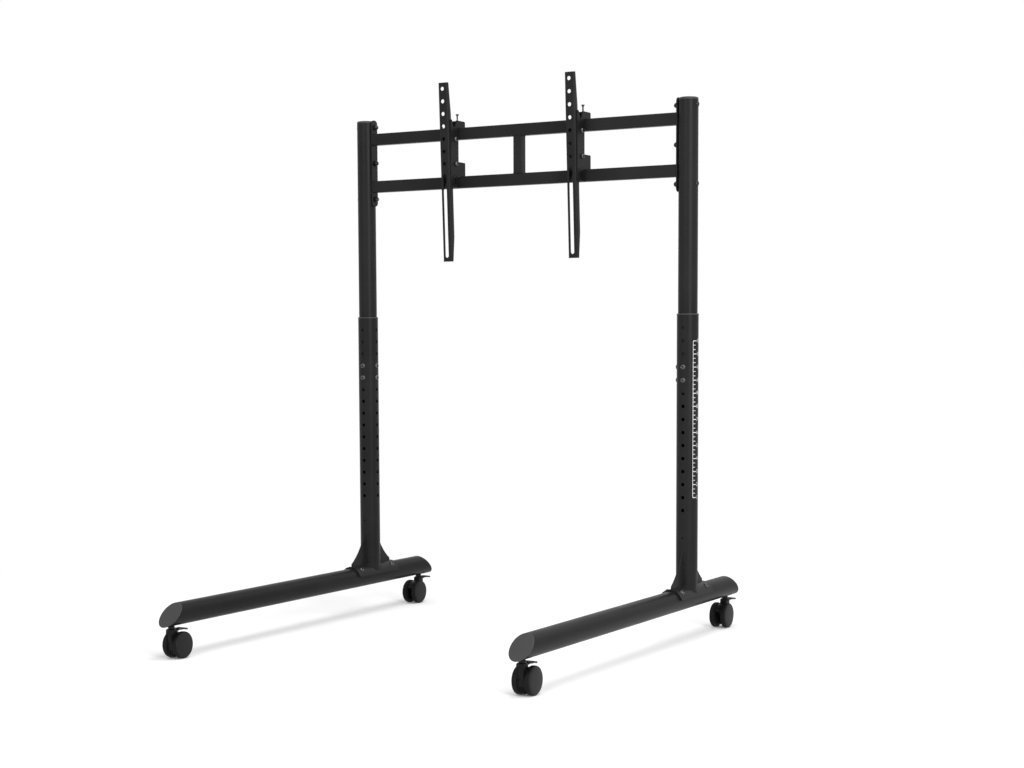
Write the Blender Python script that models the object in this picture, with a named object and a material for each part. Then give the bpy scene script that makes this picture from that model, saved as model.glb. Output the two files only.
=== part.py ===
"""Wheeled floor stand for a screen: two T legs, telescopic columns, a two-bar frame and two screen arms.

Metres, +Z up, +X to the right of someone who faces the screen side, -Y towards the screen side.
The origin lies on the floor at the middle of the footprint.
"""
from math import atan2, cos, pi, radians, sin, sqrt, tan

import bmesh
import bpy
from mathutils import Matrix, Vector

# Clearances
SEAT_GAP = 0.0003
SLIDE_GAP = 0.0003
PIN_GAP = 0.0003

# Legs
COLUMN_SPACING = 0.885
FRONT_REACH = 0.810
BACK_REACH = 0.272
BASE_TUBE_RADIUS = 0.025
BASE_TUBE_WALL = 0.002
END_CUT_ANGLE = radians(45)
END_CAP_THICKNESS = 0.0022
END_PLUG_DEPTH = 0.010
END_PLUG_WALL = 0.0018

# Saddles, gussets and their bolts
SADDLE_THICKNESS = 0.004
SADDLE_HALF_LENGTH = 0.090
SADDLE_WRAP = radians(80)
SADDLE_BOLT_OFFSET = 0.068
SADDLE_BOLT_ANGLE = radians(42)
GUSSET_THICKNESS = 0.004
GUSSET_LENGTH = 0.060
GUSSET_HEIGHT = 0.078
GUSSET_TOE = 0.006
GUSSET_TIP = 0.0015
GUSSET_HOLLOW = 0.16
WELD_RADIUS = 0.0028
WELD_SINK = 0.0015

# Columns, heights above the base tube's axis
LOWER_TUBE_RADIUS = 0.025
LOWER_TUBE_WALL = 0.0022
LOWER_TUBE_TOP = 0.654
HOLE_PITCH = 0.030
HOLE_ROWS = 15
HOLE_RADIUS = 0.0043
LOWEST_HOLE = 0.205
DRAIN_HOLE_HEIGHT = 0.141
DRAIN_HOLE_RADIUS = 0.002
COLLAR_HEIGHT = 0.003
COLLAR_OVERHANG = 0.0009
UPPER_TUBE_RADIUS = 0.0225
UPPER_TUBE_WALL = 0.002
UPPER_TUBE_BOTTOM = 0.475
UPPER_TUBE_TOP = 1.1405
DOME_HEIGHT = 0.0075
DOME_PLUG_DEPTH = 0.0048
LOCKED_HOLES = (3, 4)

# Cross frame, heights above the base tube's axis
FRAME_CENTRE = 1.0414
BAR_HEIGHT = 0.0285
BAR_DEPTH = 0.020
BAR_WALL = 0.0015
BAR_CORNER = 0.003
BAR_GAP = 0.0885
POST_WIDTH = 0.0245
END_PLATE_HEIGHT = 0.2135
END_PLATE_DEPTH = 0.025
END_PLATE_THICKNESS = 0.003
END_PLATE_CORNER = 0.010
PLATE_BOLT_PITCH = 0.089

# Screen arms
LEFT_ARM_X = -0.1805
RIGHT_ARM_X = 0.165
ARM_WIDTH = 0.026
ARM_WALL = 0.0025
ARM_BEND = 0.0045
ARM_LENGTH = 0.4285
ARM_TOP_ABOVE_PIVOT = 0.134
ARM_HOLE_EDGE = 0.0115
ARM_HOLE_RADIUS = 0.0048
ARM_HOLE_PITCH = 0.0298
ARM_HOLES = 7
ARM_FIRST_HOLE = 0.0145
ARM_SLOT_END = 0.0095
ARM_FLANGE_DEPTH = 0.014
ARM_LEFT_FLANGE_DEPTH = 0.0095
ARM_FLANGE_TIP = 0.0065
ARM_TOP_TAPER = 0.075
ARM_BOTTOM_TAPER = 0.060
ARM_LUG_DEPTH = 0.036
ARM_LEFT_LUG_DEPTH = 0.027
ARM_TILT = radians(2.5)
ARM_FACE_TO_PIVOT = 0.0265
PIVOT_ABOVE_FRAME_CENTRE = 0.0436
PIVOT_TO_COLUMN = 0.027
TILT_BOLT_DROP = 0.059
TILT_BACK = radians(2.5)
TILT_FORWARD = radians(5)

# Hook brackets
BRACKET_THICKNESS = 0.003
BRACKET_TOP_ABOVE_BAR = 0.0165
BRACKET_BOTTOM_BELOW_BAR = 0.0005
BRACKET_FRONT = 0.048
BRACKET_WAIST = 0.0128
BRACKET_CORNER = 0.0025
HOOK_REACH = 0.0185
HOOK_DROP = 0.020
PRONG_HEIGHT = 0.034
NOTCH_FROM_FRONT = 0.0165
NOTCH_TOP = 0.022
NOTCH_BOTTOM = 0.008
NOTCH_DEPTH = 0.019
KEEPER_SLOT_RADIUS = 0.0042
KEEPER_SLOT_LENGTH = 0.010
SCREW_TAB_LENGTH = 0.0165
SCREW_TAB_FRONT = 0.012
SCREW_TAB_BACK = 0.016
SCREW_FROM_PLATE = 0.011
SCREW_RADIUS = 0.0020
SCREW_HEAD_RADIUS = 0.0042
SCREW_HEAD_HEIGHT = 0.0050
SCREW_HEAD_ABOVE_BRACKET = 0.0125

# Fasteners
BOLT_RADIUS = 0.004
BOLT_HEAD_RADIUS = 0.0065
BOLT_HEAD_HEIGHT = 0.0042
PIVOT_HEAD_RADIUS = 0.0060
PLATE_BOLT_HEAD = 0.0070
NUT_RADIUS = 0.0065
NUT_HEIGHT = 0.0065
SHORT_BOLT_REACH = 0.0045
NUT_FLANGE = 0.0045

# Castors
CASTER_ABOVE_WHEEL = 0.0135
FRONT_CASTER_INSET = 0.029
BACK_CASTER_INSET = 0.046
CASTER_TRAIL = 0.020
WHEEL_RADIUS = 0.030
WHEEL_WIDTH = 0.0130
WHEEL_CROWN = 0.0030
AXLE_RADIUS = 0.003
FORK_WIDTH = 0.0175
FORK_RADIUS = 0.0265
HUB_RADIUS = 0.007
NECK_RADIUS = 0.0105
NECK_HEIGHT = 0.0070
STEM_RADIUS = 0.005
STEM_FLANGE_RADIUS = 0.0075
STEM_FLANGE_HEIGHT = 0.0055
STEM_ABOVE_TUBE_WALL = 0.014
STEM_IN_NECK = 0.016
PEDAL_LENGTH = 0.028
PEDAL_WIDTH = 0.023
PEDAL_THICKNESS = 0.0025
PEDAL_PIVOT_OFFSET = 0.0150
PEDAL_PIVOT_BELOW_NECK = 0.0028
PEDAL_PIN_RADIUS = 0.0016
PEDAL_LUG_WIDTH = 0.010
PEDAL_LUG_RADIUS = 0.0034

# Facets, and the digits that points are rounded to
GRID_DIGITS = 8
TUBE_SIDES = 20
SADDLE_STEPS = 10
BOLT_SIDES = 8
HOLE_SIDES = 8
WHEEL_SIDES = 18
NECK_SIDES = 12

# Worked out from the sizes above
CASTER_HEIGHT = 2 * WHEEL_RADIUS + CASTER_ABOVE_WHEEL
BASE_HEIGHT = CASTER_HEIGHT + BASE_TUBE_RADIUS
COLUMN_Y = (FRONT_REACH - BACK_REACH) / 2
SADDLE_INNER = BASE_TUBE_RADIUS + SEAT_GAP
SADDLE_OUTER = SADDLE_INNER + SADDLE_THICKNESS
END_PLATE_INNER = UPPER_TUBE_RADIUS + SEAT_GAP
END_PLATE_OUTER = END_PLATE_INNER + END_PLATE_THICKNESS
UPPER_BAR_BOTTOM = FRAME_CENTRE + BAR_GAP / 2
UPPER_BAR_TOP = UPPER_BAR_BOTTOM + BAR_HEIGHT
LOWER_BAR_TOP = FRAME_CENTRE - BAR_GAP / 2
LOWER_BAR_BOTTOM = LOWER_BAR_TOP - BAR_HEIGHT
PIVOT_Y = COLUMN_Y - PIVOT_TO_COLUMN
PIVOT_HEIGHT = FRAME_CENTRE + PIVOT_ABOVE_FRAME_CENTRE
AXLE_HEIGHT = WHEEL_RADIUS
WHEEL_INNER_X = FORK_WIDTH / 2 + SEAT_GAP
WHEEL_OUTER_X = WHEEL_INNER_X + WHEEL_WIDTH

COLORS = {
    "powder_black": ((0.020, 0.020, 0.021, 1), 0.42, 0.0),
    "satin_black": ((0.028, 0.028, 0.029, 1), 0.38, 0.0),
    "plastic_black": ((0.016, 0.016, 0.017, 1), 0.50, 0.0),
    "wheel_black": ((0.030, 0.030, 0.031, 1), 0.55, 0.0),
    "zinc_black": ((0.045, 0.045, 0.048, 1), 0.28, 0.9),
}


def clear_scene():
    for obj in list(bpy.data.objects):
        bpy.data.objects.remove(obj, do_unlink=True)


def finish_material(name, finish):
    """Give a sub-part its own material in one of the stand's finishes."""
    color, roughness, metallic = COLORS[finish]
    material = bpy.data.materials.new(name)
    material.use_nodes = True
    shader = material.node_tree.nodes["Principled BSDF"]
    shader.inputs["Base Color"].default_value = color
    shader.inputs["Roughness"].default_value = roughness
    shader.inputs["Metallic"].default_value = metallic
    material.diffuse_color = color
    return material


def add_object(name, bm, finish=None, place=None, smooth=True):
    """Turn a bmesh into a linked object, its points snapped to a fine grid; without a finish it is a cutter."""
    for vert in bm.verts:
        vert.co = [round(value, GRID_DIGITS) for value in vert.co]
    bmesh.ops.recalc_face_normals(bm, faces=bm.faces)
    mesh = bpy.data.meshes.new(name)
    bm.to_mesh(mesh)
    bm.free()
    if smooth:
        mesh.shade_smooth()
        mesh.set_sharp_from_angle(angle=radians(35))
    obj = bpy.data.objects.new(name, mesh)
    bpy.context.scene.collection.objects.link(obj)
    if finish:
        mesh.materials.append(finish_material(name, finish))
    else:
        obj.hide_render = True
        obj.display_type = "WIRE"
    if place is not None:
        obj.matrix_world = place
    return obj


def boolean(target, cutter, operation="DIFFERENCE"):
    """Cut or join with the exact solver."""
    modifier = target.modifiers.new(operation.lower(), "BOOLEAN")
    modifier.object = cutter
    modifier.operation = operation
    modifier.solver = "EXACT"


def ring_faces(bm, lower, upper):
    count = len(lower)
    for index in range(count):
        after = (index + 1) % count
        bm.faces.new((lower[index], lower[after], upper[after], upper[index]))


def pole_faces(bm, ring, pole):
    count = len(ring)
    for index in range(count):
        bm.faces.new((ring[index], ring[(index + 1) % count], pole))


def turn(bm, profile, sides, matrix=None, closed=False, twist=0.0):
    """Revolve (radius, height) points about Z; radius 0 is a pole, closed joins last to first."""
    matrix = matrix or Matrix()
    rings = []
    for radius, height in profile:
        if radius == 0:
            rings.append([bm.verts.new(matrix @ Vector((0, 0, height)))])
            continue
        ring = []
        for index in range(sides):
            angle = 2 * pi * index / sides + twist
            point = Vector((radius * cos(angle), radius * sin(angle), height))
            ring.append(bm.verts.new(matrix @ point))
        rings.append(ring)
    pairs = list(zip(rings, rings[1:]))
    if closed:
        pairs.append((rings[-1], rings[0]))
    for first, second in pairs:
        if len(first) == 1:
            pole_faces(bm, second, first[0])
        elif len(second) == 1:
            pole_faces(bm, first, second[0])
        else:
            ring_faces(bm, first, second)


def along(axis, point=(0, 0, 0)):
    """Frame whose Z runs along a direction, moved to a point."""
    turned = Vector((0, 0, 1)).rotation_difference(Vector(axis)).to_matrix().to_4x4()
    return Matrix.Translation(Vector(point)) @ turned


def prism(bm, outline, low, high, axis="X"):
    """Extrude a plane outline of (a, b) points along one axis: X takes (y, z), Y (x, z), Z (x, y)."""
    def corner(point, depth):
        first, second = point
        return {"X": (depth, first, second), "Y": (first, depth, second), "Z": (first, second, depth)}[axis]
    lower = [bm.verts.new(corner(point, low)) for point in outline]
    upper = [bm.verts.new(corner(point, high)) for point in outline]
    ring_faces(bm, lower, upper)
    bm.faces.new(lower)
    bm.faces.new(upper)


def hollow_prism(bm, outer, inner, low, high, axis):
    """Extrude a tube section with open ends."""
    loops = []
    for outline, depth in ((outer, low), (outer, high), (inner, high), (inner, low)):
        loop = []
        for first, second in outline:
            point = {"X": (depth, first, second), "Z": (first, second, depth)}[axis]
            loop.append(bm.verts.new(point))
        loops.append(loop)
    for index in range(4):
        ring_faces(bm, loops[index], loops[(index + 1) % 4])


def arc(center, radius, start, end, steps):
    """Points of an arc, both ends included."""
    points = []
    for index in range(steps + 1):
        angle = start + (end - start) * index / steps
        points.append((center[0] + radius * cos(angle), center[1] + radius * sin(angle)))
    return points


def rounded_rectangle(width, height, radius, steps=3, center=(0, 0)):
    half_width = width / 2 - radius
    half_height = height / 2 - radius
    points = []
    for quarter, (sign_a, sign_b) in enumerate(((1, 1), (-1, 1), (-1, -1), (1, -1))):
        middle = (center[0] + sign_a * half_width, center[1] + sign_b * half_height)
        points += arc(middle, radius, quarter * pi / 2, (quarter + 1) * pi / 2, steps)
    return points


def slot_outline(first, second, radius, steps=5):
    """Round-ended slot between two centres."""
    heading = atan2(second[1] - first[1], second[0] - first[0])
    points = arc(second, radius, heading - pi / 2, heading + pi / 2, steps)
    points += arc(first, radius, heading + pi / 2, heading + 3 * pi / 2, steps)
    return points


def curved_slot_outline(center, arc_radius, half_width, middle, spread, steps=6):
    """Slot that follows an arc about a centre."""
    points = arc(center, arc_radius + half_width, middle - spread, middle + spread, steps)
    tip = (center[0] + arc_radius * cos(middle + spread), center[1] + arc_radius * sin(middle + spread))
    points += arc(tip, half_width, middle + spread, middle + spread + pi, 4)[1:-1]
    points += arc(center, arc_radius - half_width, middle + spread, middle - spread, steps)
    tip = (center[0] + arc_radius * cos(middle - spread), center[1] + arc_radius * sin(middle - spread))
    points += arc(tip, half_width, middle - spread - pi, middle - spread, 4)[1:-1]
    return points


def button_bolt(bm, seat, outward, shank, head_radius=BOLT_HEAD_RADIUS):
    """Button-head bolt: the head stands on the seat point, the shank runs back into the part."""
    head = BOLT_HEAD_HEIGHT
    profile = [
        (0, head),
        (0.72 * head_radius, 0.80 * head),
        (head_radius, 0),
        (BOLT_RADIUS, 0),
        (BOLT_RADIUS, -shank),
        (0, -shank),
    ]
    turn(bm, profile, BOLT_SIDES, along(outward, seat))


def end_plane(drop, inset, front):
    """Y of the oblique end plane at a height over the tube's axis, moved in by an inset."""
    slope = (drop + BASE_TUBE_RADIUS) * tan(END_CUT_ANGLE) + inset / cos(END_CUT_ANGLE)
    if front:
        return COLUMN_Y - FRONT_REACH + slope
    return COLUMN_Y + BACK_REACH - slope


def end_ring(bm, x, radius, inset, front):
    """One ring of points on the oblique end plane."""
    ring = []
    for index in range(TUBE_SIDES):
        angle = 2 * pi * index / TUBE_SIDES
        drop = radius * sin(angle)
        point = (x + radius * cos(angle), end_plane(drop, inset, front), BASE_HEIGHT + drop)
        ring.append(bm.verts.new(point))
    return ring


def radial(angle, radius, y):
    """Point on a circle round a leg's axis, the angle counted from straight up."""
    return (radius * sin(angle), y, radius * cos(angle))


def column_foot(x):
    """Frame of a column: origin where its axis meets the leg tube's axis."""
    return Matrix.Translation((x, COLUMN_Y, BASE_HEIGHT))


def saddle_bolt_places():
    """Seat point and outward direction of a saddle's four bolts, from the column's foot."""
    for y in (-SADDLE_BOLT_OFFSET, SADDLE_BOLT_OFFSET):
        for angle in (-SADDLE_BOLT_ANGLE, SADDLE_BOLT_ANGLE):
            seat = radial(angle, SADDLE_OUTER - WELD_SINK, y)
            yield seat, (sin(angle), 0, cos(angle))


def caster_places():
    """Name, swivel axis and trailing direction of each castor."""
    front = COLUMN_Y - FRONT_REACH + FRONT_CASTER_INSET
    back = COLUMN_Y + BACK_REACH - BACK_CASTER_INSET
    half = COLUMN_SPACING / 2
    return (
        ("front_left", -half, front, 1),
        ("front_right", half, front, 1),
        ("back_left", -half, back, -1),
        ("back_right", half, back, -1),
    )


def base_tube(side, x):
    """Round leg tube, cut obliquely at both ends, drilled for saddle bolts and castor stems."""
    bm = bmesh.new()
    inset = END_CAP_THICKNESS + SEAT_GAP
    inner = BASE_TUBE_RADIUS - BASE_TUBE_WALL
    rings = [
        end_ring(bm, x, BASE_TUBE_RADIUS, inset, True),
        end_ring(bm, x, BASE_TUBE_RADIUS, inset, False),
        end_ring(bm, x, inner, inset, False),
        end_ring(bm, x, inner, inset, True),
    ]
    for index in range(4):
        ring_faces(bm, rings[index], rings[(index + 1) % 4])
    tube = add_object("base_tube_" + side, bm, "satin_black")
    cutter = bmesh.new()
    reach = SADDLE_THICKNESS + 2 * BASE_TUBE_WALL
    for seat, outward in saddle_bolt_places():
        turn(cutter, [(0, 0), (HOLE_RADIUS, 0), (HOLE_RADIUS, -reach), (0, -reach)],
             HOLE_SIDES, column_foot(x) @ along(outward, seat))
    for name, stem_x, y, trail in caster_places():
        if stem_x == x:
            hole = STEM_RADIUS + PIN_GAP
            depth = 2 * BASE_TUBE_WALL
            turn(cutter, [(0, -depth), (hole, -depth), (hole, depth), (0, depth)],
                 HOLE_SIDES, Matrix.Translation((x, y, CASTER_HEIGHT)))
    boolean(tube, add_object("base_tube_cutter_" + side, cutter))


def end_cap(name, x, front):
    """Flat oblique cap with a hollow plug in the tube's mouth."""
    bm = bmesh.new()
    plug = BASE_TUBE_RADIUS - BASE_TUBE_WALL - SEAT_GAP
    core = plug - END_PLUG_WALL
    deep = END_CAP_THICKNESS + END_PLUG_DEPTH
    rings = [
        end_ring(bm, x, BASE_TUBE_RADIUS, 0, front),
        end_ring(bm, x, BASE_TUBE_RADIUS, END_CAP_THICKNESS, front),
        end_ring(bm, x, plug, END_CAP_THICKNESS, front),
        end_ring(bm, x, plug, deep, front),
        end_ring(bm, x, core, deep, front),
        end_ring(bm, x, core, END_CAP_THICKNESS, front),
    ]
    for lower, upper in zip(rings, rings[1:]):
        ring_faces(bm, lower, upper)
    for ring, inset in ((rings[0], 0), (rings[-1], END_CAP_THICKNESS)):
        pole = bm.verts.new((x, end_plane(0, inset, front), BASE_HEIGHT))
        pole_faces(bm, ring, pole)
    add_object(name, bm, "plastic_black")


def saddle_block(bm):
    """Sector of a cylinder over the leg tube; its bore is cut once the column stands on it."""
    top = pi / 2
    outline = arc((0, 0), SADDLE_OUTER, top - SADDLE_WRAP, top + SADDLE_WRAP, SADDLE_STEPS)
    outline.append((0, 0))
    prism(bm, outline, -SADDLE_HALF_LENGTH, SADDLE_HALF_LENGTH, "Y")


def gusset_outline(sign):
    """Fin with a hollow curved edge in (y, z), from the saddle's back up the column."""
    floor = SADDLE_OUTER - WELD_SINK
    start = LOWER_TUBE_RADIUS - WELD_SINK
    toe = (start + GUSSET_LENGTH, SADDLE_OUTER + GUSSET_TOE)
    head = (LOWER_TUBE_RADIUS + GUSSET_TIP, SADDLE_OUTER + GUSSET_HEIGHT)
    pull = (start + GUSSET_HOLLOW * GUSSET_LENGTH, SADDLE_OUTER + GUSSET_HOLLOW * GUSSET_HEIGHT)
    points = [(start, floor), (start + GUSSET_LENGTH, floor)]
    for index in range(8):
        share = index / 7
        keep = 1 - share
        points.append(tuple(keep * keep * toe[axis] + 2 * keep * share * pull[axis]
                            + share * share * head[axis] for axis in (0, 1)))
    points.append((start, SADDLE_OUTER + GUSSET_HEIGHT))
    return [(sign * y, z) for y, z in points]


def weld_bead(bm):
    """Bead along the curve where the column meets the saddle, its corners off the column's own edges."""
    rings = []
    for index in range(TUBE_SIDES):
        angle = 2 * pi * (index + 0.5) / TUBE_SIDES
        heading = Vector((cos(angle), sin(angle), 0))
        offset = LOWER_TUBE_RADIUS * cos(angle)
        foot = sqrt(SADDLE_OUTER * SADDLE_OUTER - offset * offset)
        center = Vector((0, 0, foot)) + LOWER_TUBE_RADIUS * heading
        ring = []
        for corner in range(4):
            turned = 2 * pi * (corner + 0.5) / 4
            point = center + WELD_RADIUS * (cos(turned) * heading + Vector((0, 0, sin(turned))))
            ring.append(bm.verts.new(point))
        rings.append(ring)
    for index in range(TUBE_SIDES):
        ring_faces(bm, rings[index], rings[(index + 1) % TUBE_SIDES])


def hole_heights():
    """Heights of the column's adjusting holes, from the top one down."""
    highest = LOWEST_HOLE + (HOLE_ROWS - 1) * HOLE_PITCH
    return [highest - row * HOLE_PITCH for row in range(HOLE_ROWS)]


def column_faces(x):
    """Outward directions of the two drilled sides: front and inner."""
    return ((0, -1, 0), (-1 if x > 0 else 1, 0, 0))


def fixed_bolts(bm, x):
    """The saddle's four bolts and the column's four height bolts, tight in this welded piece."""
    shank = SADDLE_THICKNESS + BASE_TUBE_WALL + 2 * SEAT_GAP
    for seat, outward in saddle_bolt_places():
        button_bolt(bm, seat, outward, shank)
    heights = hole_heights()
    for row in LOCKED_HOLES:
        for outward in column_faces(x):
            seat = Vector((0, 0, heights[row])) + Vector(outward) * (LOWER_TUBE_RADIUS - WELD_SINK)
            button_bolt(bm, seat, outward, 0.25 * LOWER_TUBE_WALL)


def column_holes(bm, x):
    """Cutters for the column's drain hole and its free adjusting holes."""
    start = LOWER_TUBE_RADIUS - 2 * LOWER_TUBE_WALL
    end = LOWER_TUBE_RADIUS + LOWER_TUBE_WALL
    drilled = [((0, -1, 0), DRAIN_HOLE_HEIGHT, DRAIN_HOLE_RADIUS)]
    for row, height in enumerate(hole_heights()):
        if row not in LOCKED_HOLES:
            drilled += [(outward, height, HOLE_RADIUS) for outward in column_faces(x)]
    for outward, height, radius in drilled:
        turn(bm, [(0, start), (radius, start), (radius, end), (0, end)], HOLE_SIDES,
             along(outward, (0, 0, height)))


def lower_column(side, x):
    """Drilled outer tube, saddle and gussets, welded together, with the bolts that stay tight in them."""
    place = column_foot(x)
    foot = SADDLE_INNER + 0.5 * SADDLE_THICKNESS
    low = sqrt(foot * foot - LOWER_TUBE_RADIUS * LOWER_TUBE_RADIUS)
    bore = LOWER_TUBE_RADIUS - LOWER_TUBE_WALL
    bm = bmesh.new()
    turn(bm, [(LOWER_TUBE_RADIUS, low), (LOWER_TUBE_RADIUS, LOWER_TUBE_TOP), (bore, LOWER_TUBE_TOP), (bore, low)],
         TUBE_SIDES, closed=True)
    column = add_object("lower_column_" + side, bm, "powder_black", place)
    bm = bmesh.new()
    column_holes(bm, x)
    boolean(column, add_object("column_holes_" + side, bm, place=place))
    bm = bmesh.new()
    saddle_block(bm)
    boolean(column, add_object("saddle_" + side, bm, place=place), "UNION")
    for sign, name in ((-1, "front"), (1, "back")):
        bm = bmesh.new()
        prism(bm, gusset_outline(sign), -GUSSET_THICKNESS / 2, GUSSET_THICKNESS / 2, "X")
        boolean(column, add_object("gusset_" + name + "_" + side, bm, place=place, smooth=False), "UNION")
    bm = bmesh.new()
    weld_bead(bm)
    boolean(column, add_object("weld_" + side, bm, place=place), "UNION")
    bm = bmesh.new()
    reach = SADDLE_HALF_LENGTH + SADDLE_THICKNESS
    turn(bm, [(0, -reach), (SADDLE_INNER, -reach), (SADDLE_INNER, reach), (0, reach)], TUBE_SIDES,
         along((0, 1, 0)))
    boolean(column, add_object("saddle_bore_" + side, bm, place=place))
    bm = bmesh.new()
    fixed_bolts(bm, x)
    boolean(column, add_object("column_bolts_" + side, bm, place=place), "UNION")


def collar(side, x):
    """Thin ring on the mouth of the lower tube."""
    bm = bmesh.new()
    low = LOWER_TUBE_TOP + SEAT_GAP
    high = low + COLLAR_HEIGHT
    inner = UPPER_TUBE_RADIUS + SLIDE_GAP
    outer = LOWER_TUBE_RADIUS + COLLAR_OVERHANG
    profile = [(inner, low), (outer, low), (outer - COLLAR_OVERHANG, high), (inner, high)]
    turn(bm, profile, TUBE_SIDES, Matrix.Translation((x, COLUMN_Y, BASE_HEIGHT)), closed=True)
    add_object("collar_" + side, bm, "plastic_black")


def plate_bolt_heights():
    return [FRAME_CENTRE + step * PLATE_BOLT_PITCH for step in (1, 0, -1)]


def upper_tube(side, x):
    """Column's sliding tube, drilled for the end plate's bolts."""
    bm = bmesh.new()
    inner = UPPER_TUBE_RADIUS - UPPER_TUBE_WALL
    profile = [(UPPER_TUBE_RADIUS, UPPER_TUBE_BOTTOM), (UPPER_TUBE_RADIUS, UPPER_TUBE_TOP),
               (inner, UPPER_TUBE_TOP), (inner, UPPER_TUBE_BOTTOM)]
    turn(bm, profile, TUBE_SIDES, Matrix.Translation((x, COLUMN_Y, BASE_HEIGHT)), closed=True)
    tube = add_object("upper_tube_" + side, bm, "powder_black")
    inward = -1 if x > 0 else 1
    cutter = bmesh.new()
    near = UPPER_TUBE_RADIUS + UPPER_TUBE_WALL
    for row, height in enumerate(plate_bolt_heights()):
        far = 0 if row == 1 else -near
        turn(cutter, [(0, far), (HOLE_RADIUS, far), (HOLE_RADIUS, near), (0, near)], HOLE_SIDES,
             along((inward, 0, 0), (x, COLUMN_Y, BASE_HEIGHT + height)))
    boolean(tube, add_object("upper_tube_cutter_" + side, cutter))


def top_cap(side, x):
    """Domed cap with a short plug."""
    bm = bmesh.new()
    radius = UPPER_TUBE_RADIUS
    plug = radius - UPPER_TUBE_WALL - SEAT_GAP
    profile = [(0, DOME_HEIGHT)]
    for degrees in (60, 30, 0):
        bend = radians(degrees)
        profile.append((radius * (0.55 + 0.45 * cos(bend)), DOME_HEIGHT * (0.25 + 0.75 * sin(bend))))
    profile += [(radius, 0), (plug, 0), (plug, -DOME_PLUG_DEPTH), (0, -DOME_PLUG_DEPTH)]
    place = Matrix.Translation((x, COLUMN_Y, BASE_HEIGHT + UPPER_TUBE_TOP + SEAT_GAP))
    turn(bm, profile, TUBE_SIDES, place)
    add_object("top_cap_" + side, bm, "plastic_black")


def end_plate(side, x):
    """Upright plate between the bars and a column."""
    inward = -1 if x > 0 else 1
    bm = bmesh.new()
    outline = rounded_rectangle(END_PLATE_DEPTH, END_PLATE_HEIGHT, END_PLATE_CORNER, 4,
                                (COLUMN_Y, BASE_HEIGHT + FRAME_CENTRE))
    prism(bm, outline, x + inward * END_PLATE_INNER, x + inward * END_PLATE_OUTER, "X")
    plate = add_object("end_plate_" + side, bm, "powder_black", smooth=False)
    cutter = bmesh.new()
    low = END_PLATE_INNER - END_PLATE_THICKNESS
    high = END_PLATE_OUTER + END_PLATE_THICKNESS
    for height in plate_bolt_heights():
        turn(cutter, [(0, low), (HOLE_RADIUS, low), (HOLE_RADIUS, high), (0, high)], HOLE_SIDES,
             along((inward, 0, 0), (x, COLUMN_Y, BASE_HEIGHT + height)))
    boolean(plate, add_object("end_plate_cutter_" + side, cutter))


def plate_bolts(side, x):
    """Three bolts of an end plate: the outer two run through the column into domed nuts."""
    inward = -1 if x > 0 else 1
    seat_x = x + inward * (END_PLATE_OUTER + SEAT_GAP)
    head = BOLT_HEAD_HEIGHT
    wide = PLATE_BOLT_HEAD
    top = [(0, head), (0.55 * wide, 0.92 * head), (0.90 * wide, 0.52 * head), (wide, 0), (BOLT_RADIUS, 0)]
    nut_seat = -(END_PLATE_OUTER + UPPER_TUBE_RADIUS + 2 * SEAT_GAP)
    nut = [(BOLT_RADIUS, nut_seat), (NUT_RADIUS, nut_seat), (NUT_RADIUS, nut_seat - 0.45 * NUT_HEIGHT),
           (0.72 * NUT_RADIUS, nut_seat - 0.80 * NUT_HEIGHT), (0, nut_seat - NUT_HEIGHT)]
    short = -(END_PLATE_THICKNESS + UPPER_TUBE_WALL + SHORT_BOLT_REACH)
    blunt = [(BOLT_RADIUS, short), (0, short)]
    for name, height, foot in zip(("top", "middle", "bottom"), plate_bolt_heights(), (nut, blunt, nut)):
        bm = bmesh.new()
        turn(bm, top + foot, BOLT_SIDES, along((inward, 0, 0), (seat_x, COLUMN_Y, BASE_HEIGHT + height)))
        add_object("plate_bolt_" + name + "_" + side, bm, "zinc_black")


def bar_section(width, height, center):
    outer = rounded_rectangle(width, height, BAR_CORNER, 3, center)
    inner = rounded_rectangle(width - 2 * BAR_WALL, height - 2 * BAR_WALL, BAR_CORNER - BAR_WALL, 3, center)
    return outer, inner


def crossbar(name, bottom):
    """Flat rectangular tube from end plate to end plate."""
    bm = bmesh.new()
    half = COLUMN_SPACING / 2 - END_PLATE_OUTER - SEAT_GAP
    outer, inner = bar_section(BAR_DEPTH, BAR_HEIGHT, (COLUMN_Y, BASE_HEIGHT + bottom + BAR_HEIGHT / 2))
    hollow_prism(bm, outer, inner, -half, half, "X")
    add_object(name, bm, "powder_black")


def center_post():
    """Short upright tube between the bars."""
    bm = bmesh.new()
    outer, inner = bar_section(POST_WIDTH, BAR_DEPTH, (0, COLUMN_Y))
    low = BASE_HEIGHT + LOWER_BAR_TOP + SEAT_GAP
    high = BASE_HEIGHT + UPPER_BAR_BOTTOM - SEAT_GAP
    hollow_prism(bm, outer, inner, low, high, "Z")
    add_object("center_post", bm, "powder_black")


def bracket_face_x(arm_x):
    """Outer face of the bracket's side plate, which lies beside the arm's flange."""
    return arm_x - ARM_HOLE_EDGE + ARM_WIDTH + SLIDE_GAP + BRACKET_THICKNESS


def arm_place(arm_x):
    """Frame of an arm: origin at its pivot, turned by the tilt it stands at."""
    origin = (arm_x, PIVOT_Y, BASE_HEIGHT + PIVOT_HEIGHT)
    return Matrix.Translation(origin) @ Matrix.Rotation(ARM_TILT, 4, "X")


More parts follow.
